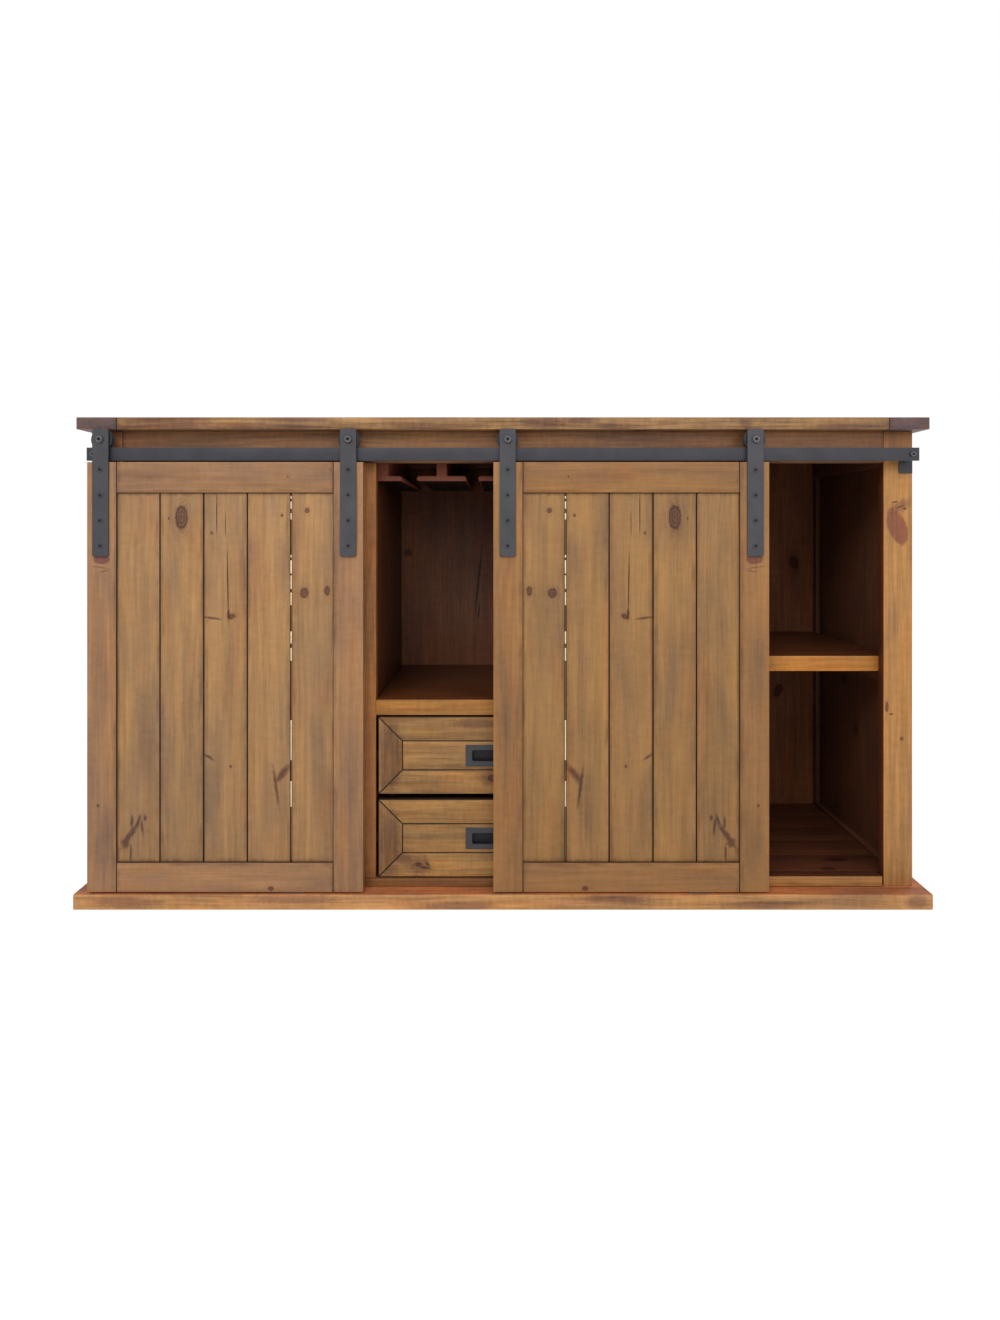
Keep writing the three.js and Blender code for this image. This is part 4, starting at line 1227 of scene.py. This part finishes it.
def dress_steel(node, mesh, *finishes):
    dress(steel_piece("steel_" + node, mesh, *finishes), node)


def new_steel_mesh():
    mesh = bmesh.new()
    mesh.faces.layers.float.new("arris")
    return mesh


# Straps with their screws, and the wheels on their bolts

def make_strap(door, hand):
    node = f"{door}_strap_{hand}"
    low, high, middle = box_with_middle(node)
    half_width, half_height = (high.x - low.x) / 2, (high.z - low.z) / 2
    loops = []
    for inset, y in (
        (STEEL_ARRIS, low.y), (0.0, low.y + STEEL_ARRIS), (0.0, high.y - STEEL_ARRIS), (STEEL_ARRIS, high.y),
    ):
        loops.append(rounded_loop(middle, half_width - inset, half_height - inset, STRAP_CORNER - inset, y))
    mesh = new_steel_mesh()
    cap_ends(mesh, add_rings(mesh, loops))
    dress_steel(node, mesh, painted_steel)
    screws = new_steel_mesh()
    for index in range(STRAP_SCREW_COUNT):
        z = low.z + STRAP_ON_DOOR - STRAP_SCREW_FIRST - STRAP_SCREW_PITCH * index
        add_socket_head(screws, middle.x, z, low.y - SCREW_HEIGHT, low.y, *SCREW_HEAD)
    piece = steel_piece("screws_" + node, screws, painted_steel, socket_steel_shaded)
    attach(piece, node_body[node])


def make_wheel(door, hand):
    node = f"{door}_wheel_{hand}"
    low, high, middle = box_with_middle(node)
    rim = (high.z - low.z) / 2
    root = rim - WHEEL_FLANGE_HEIGHT
    bore = AXLE_RADIUS + AXLE_CLEARANCE
    dish = low.y + WHEEL_DISH_DEPTH
    front = [
        (bore, low.y), (WHEEL_HUB_RADIUS, low.y), (WHEEL_HUB_RADIUS + WHEEL_DISH_DEPTH, dish),
        (WHEEL_DISH_RADIUS, dish), (WHEEL_DISH_RADIUS + WHEEL_DISH_DEPTH, low.y),
        (rim, low.y), (rim, low.y + WHEEL_FLANGE), (root, low.y + WHEEL_FLANGE),
    ]
    back = [(radius, low.y + high.y - y) for radius, y in reversed(front)]
    mesh = new_steel_mesh()
    add_turned(mesh, middle.x, middle.z, eased(front + back + [front[0]], WHEEL_EASE))
    dress_steel(node, mesh, wheel_steel_shaded)


def make_axle(door, hand):
    node = f"{door}_axle_{hand}"
    low, high, middle = box_with_middle(node)
    strap_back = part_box(f"{door}_strap_{hand}")[1].y
    wheel_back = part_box(f"{door}_wheel_{hand}")[1].y
    washer_front = strap_back + SEAT_GAP
    head_back = low.y + AXLE_HEAD_HEIGHT
    mesh = new_steel_mesh()
    add_socket_head(mesh, middle.x, middle.z, low.y, head_back, *AXLE_HEAD)
    shank = tube(0.0, AXLE_RADIUS, head_back, high.y)
    washer = tube(AXLE_RADIUS, WASHER_RADIUS, washer_front, washer_front + WASHER_THICKNESS)
    for profile in (shank, washer):
        add_turned(mesh, middle.x, middle.z, eased(profile, ROD_EASE))
    nut = tube(AXLE_RADIUS, AXLE_NUT, wheel_back + SEAT_GAP, high.y - AXLE_RADIUS / 2)
    add_turned(mesh, middle.x, middle.z, nut, hexagon_points=len(nut))
    dress_steel(node, mesh, bolt_steel, socket_steel_shaded)


for door in ("left_door", "right_door"):
    for hand in ("left", "right"):
        make_strap(door, hand)
        make_wheel(door, hand)
        make_axle(door, hand)

# Track bar and its brackets

bar_low, bar_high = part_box("track_bar")
bar_mesh = new_steel_mesh()
add_plate(bar_mesh, bar_low, bar_high)
dress_steel("track_bar", bar_mesh, track_steel)


def make_bracket(hand):
    node = "track_bracket_" + hand
    low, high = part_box(node)
    x = (low.x + high.x) / 2
    z = (bar_low.z + bar_high.z) / 2
    plate_front = high.y - BRACKET_THICKNESS
    mesh = new_steel_mesh()
    add_plate(mesh, (low.x, plate_front, low.z), high)
    spacer = tube(0.0, SPACER_RADIUS, bar_high.y + SEAT_GAP, plate_front)
    add_turned(mesh, x, z, eased(spacer, ROD_EASE))
    head_back = low.y + BAR_HEAD_HEIGHT
    add_socket_head(mesh, x, z, low.y, head_back, *BAR_HEAD, finish=2)
    dress_steel(node, mesh, track_steel, socket_steel_shaded, bolt_steel)


for hand in ("left", "right"):
    make_bracket(hand)


# Flush pulls: loops of a rounded rectangle from the cup's back round the flange to the cup's floor, with the
# cup's inside painted near black as shade

def make_pull(node):
    low, high, middle = box_with_middle(node)
    flange = ((high.x - low.x) / 2, (high.z - low.z) / 2, PULL_CORNER)
    cup = (PULL_CUP_WIDTH / 2, PULL_CUP_HEIGHT / 2, PULL_CUP_CORNER)
    flange_back = low.y + PULL_FLANGE_THICKNESS
    loops = []
    for (half_width, half_height, radius), grown, y in (
        (cup, PULL_WALL, high.y), (cup, PULL_WALL, flange_back), (flange, 0.0, flange_back),
        (flange, 0.0, low.y + PULL_EASE), (flange, -PULL_EASE, low.y), (cup, PULL_EASE, low.y),
        (cup, 0.0, low.y + PULL_EASE), (cup, 0.0, high.y - PULL_WALL - PULL_EASE),
        (cup, -PULL_EASE, high.y - PULL_WALL),
    ):
        loops.append(rounded_loop(middle, half_width + grown, half_height + grown, radius + grown, y))
    mesh = new_steel_mesh()
    cap_ends(mesh, add_rings(mesh, loops, range(PULL_OUTER_LOOPS, len(loops))), last_finish=1)
    dress_steel(node, mesh, pull_steel, recess_steel_shaded)


for level in ("upper", "lower"):
    make_pull(level + "_drawer_pull")

for hand in ("left", "right"):
    refinish("door_guide_" + hand, painted_steel)

# Floor, light and camera

floor_mesh = bpy.data.meshes.new("floor")
corners = rectangle((-FLOOR_HALF, -FLOOR_HALF), (FLOOR_HALF, FLOOR_HALF))
floor_mesh.from_pydata([(x, y, 0.0) for x, y in corners], [], [(0, 1, 2, 3)])
floor = new_object("studio_floor", floor_mesh)


def seen_directly(tree):
    path = add_node(tree, "ShaderNodeLightPath").outputs
    seen = calculate(tree, "MAXIMUM", path["Is Camera Ray"], path["Is Glossy Ray"])
    return calculate(tree, "MAXIMUM", seen, path["Is Transmission Ray"])


floor_material, floor_tree, _ = new_material("studio_floor")
floor_tree.nodes.clear()
matt = add_node(floor_tree, "ShaderNodeBsdfDiffuse", {"Color": FLOOR_COLOUR})
lift_strength = calculate(floor_tree, "MULTIPLY", seen_directly(floor_tree), FLOOR_LIFT)
lift = add_node(floor_tree, "ShaderNodeEmission", {"Color": WHITE, "Strength": lift_strength})
both = add_node(floor_tree, "ShaderNodeAddShader", {0: matt.outputs[0], 1: lift.outputs[0]})
add_node(floor_tree, "ShaderNodeOutputMaterial", {"Surface": both.outputs[0]})
floor_mesh.materials.append(floor_material)

world = bpy.data.worlds.new("studio")
bpy.context.scene.world = world
world.use_nodes = True
world_tree = world.node_tree
background = world_tree.nodes["Background"]
background.inputs["Color"].default_value = WHITE
world_light = calculate(world_tree, "MULTIPLY_ADD", seen_directly(world_tree), WORLD_SEEN, WORLD_LIGHT)
world_tree.links.new(world_light, background.inputs["Strength"])

for name, (place, (width, height), power) in SOFTBOXES.items():
    softbox = bpy.data.lights.new(name, "AREA")
    softbox.shape = "RECTANGLE"
    softbox.size = width
    softbox.size_y = height
    softbox.energy = power
    lamp = new_object(name, softbox)
    lamp.location = place
    lamp.rotation_euler = (Vector(LIGHT_AIM) - Vector(place)).to_track_quat("-Z", "Y").to_euler()

camera_data = bpy.data.cameras.new("camera")
camera_data.sensor_width = SENSOR
camera_data.lens = FOCAL_PIXELS / PHOTO_LONG_SIDE * SENSOR
camera_data.shift_x = SHIFT_PIXELS[0] / PHOTO_LONG_SIDE
camera_data.shift_y = SHIFT_PIXELS[1] / PHOTO_LONG_SIDE
camera = new_object("camera", camera_data)
camera.location = (0.0, -CAMERA_DISTANCE, CAMERA_HEIGHT)
camera.rotation_euler = (math.pi / 2, 0.0, 0.0)
bpy.context.scene.camera = camera
bpy.context.scene.view_settings.view_transform = "Standard"
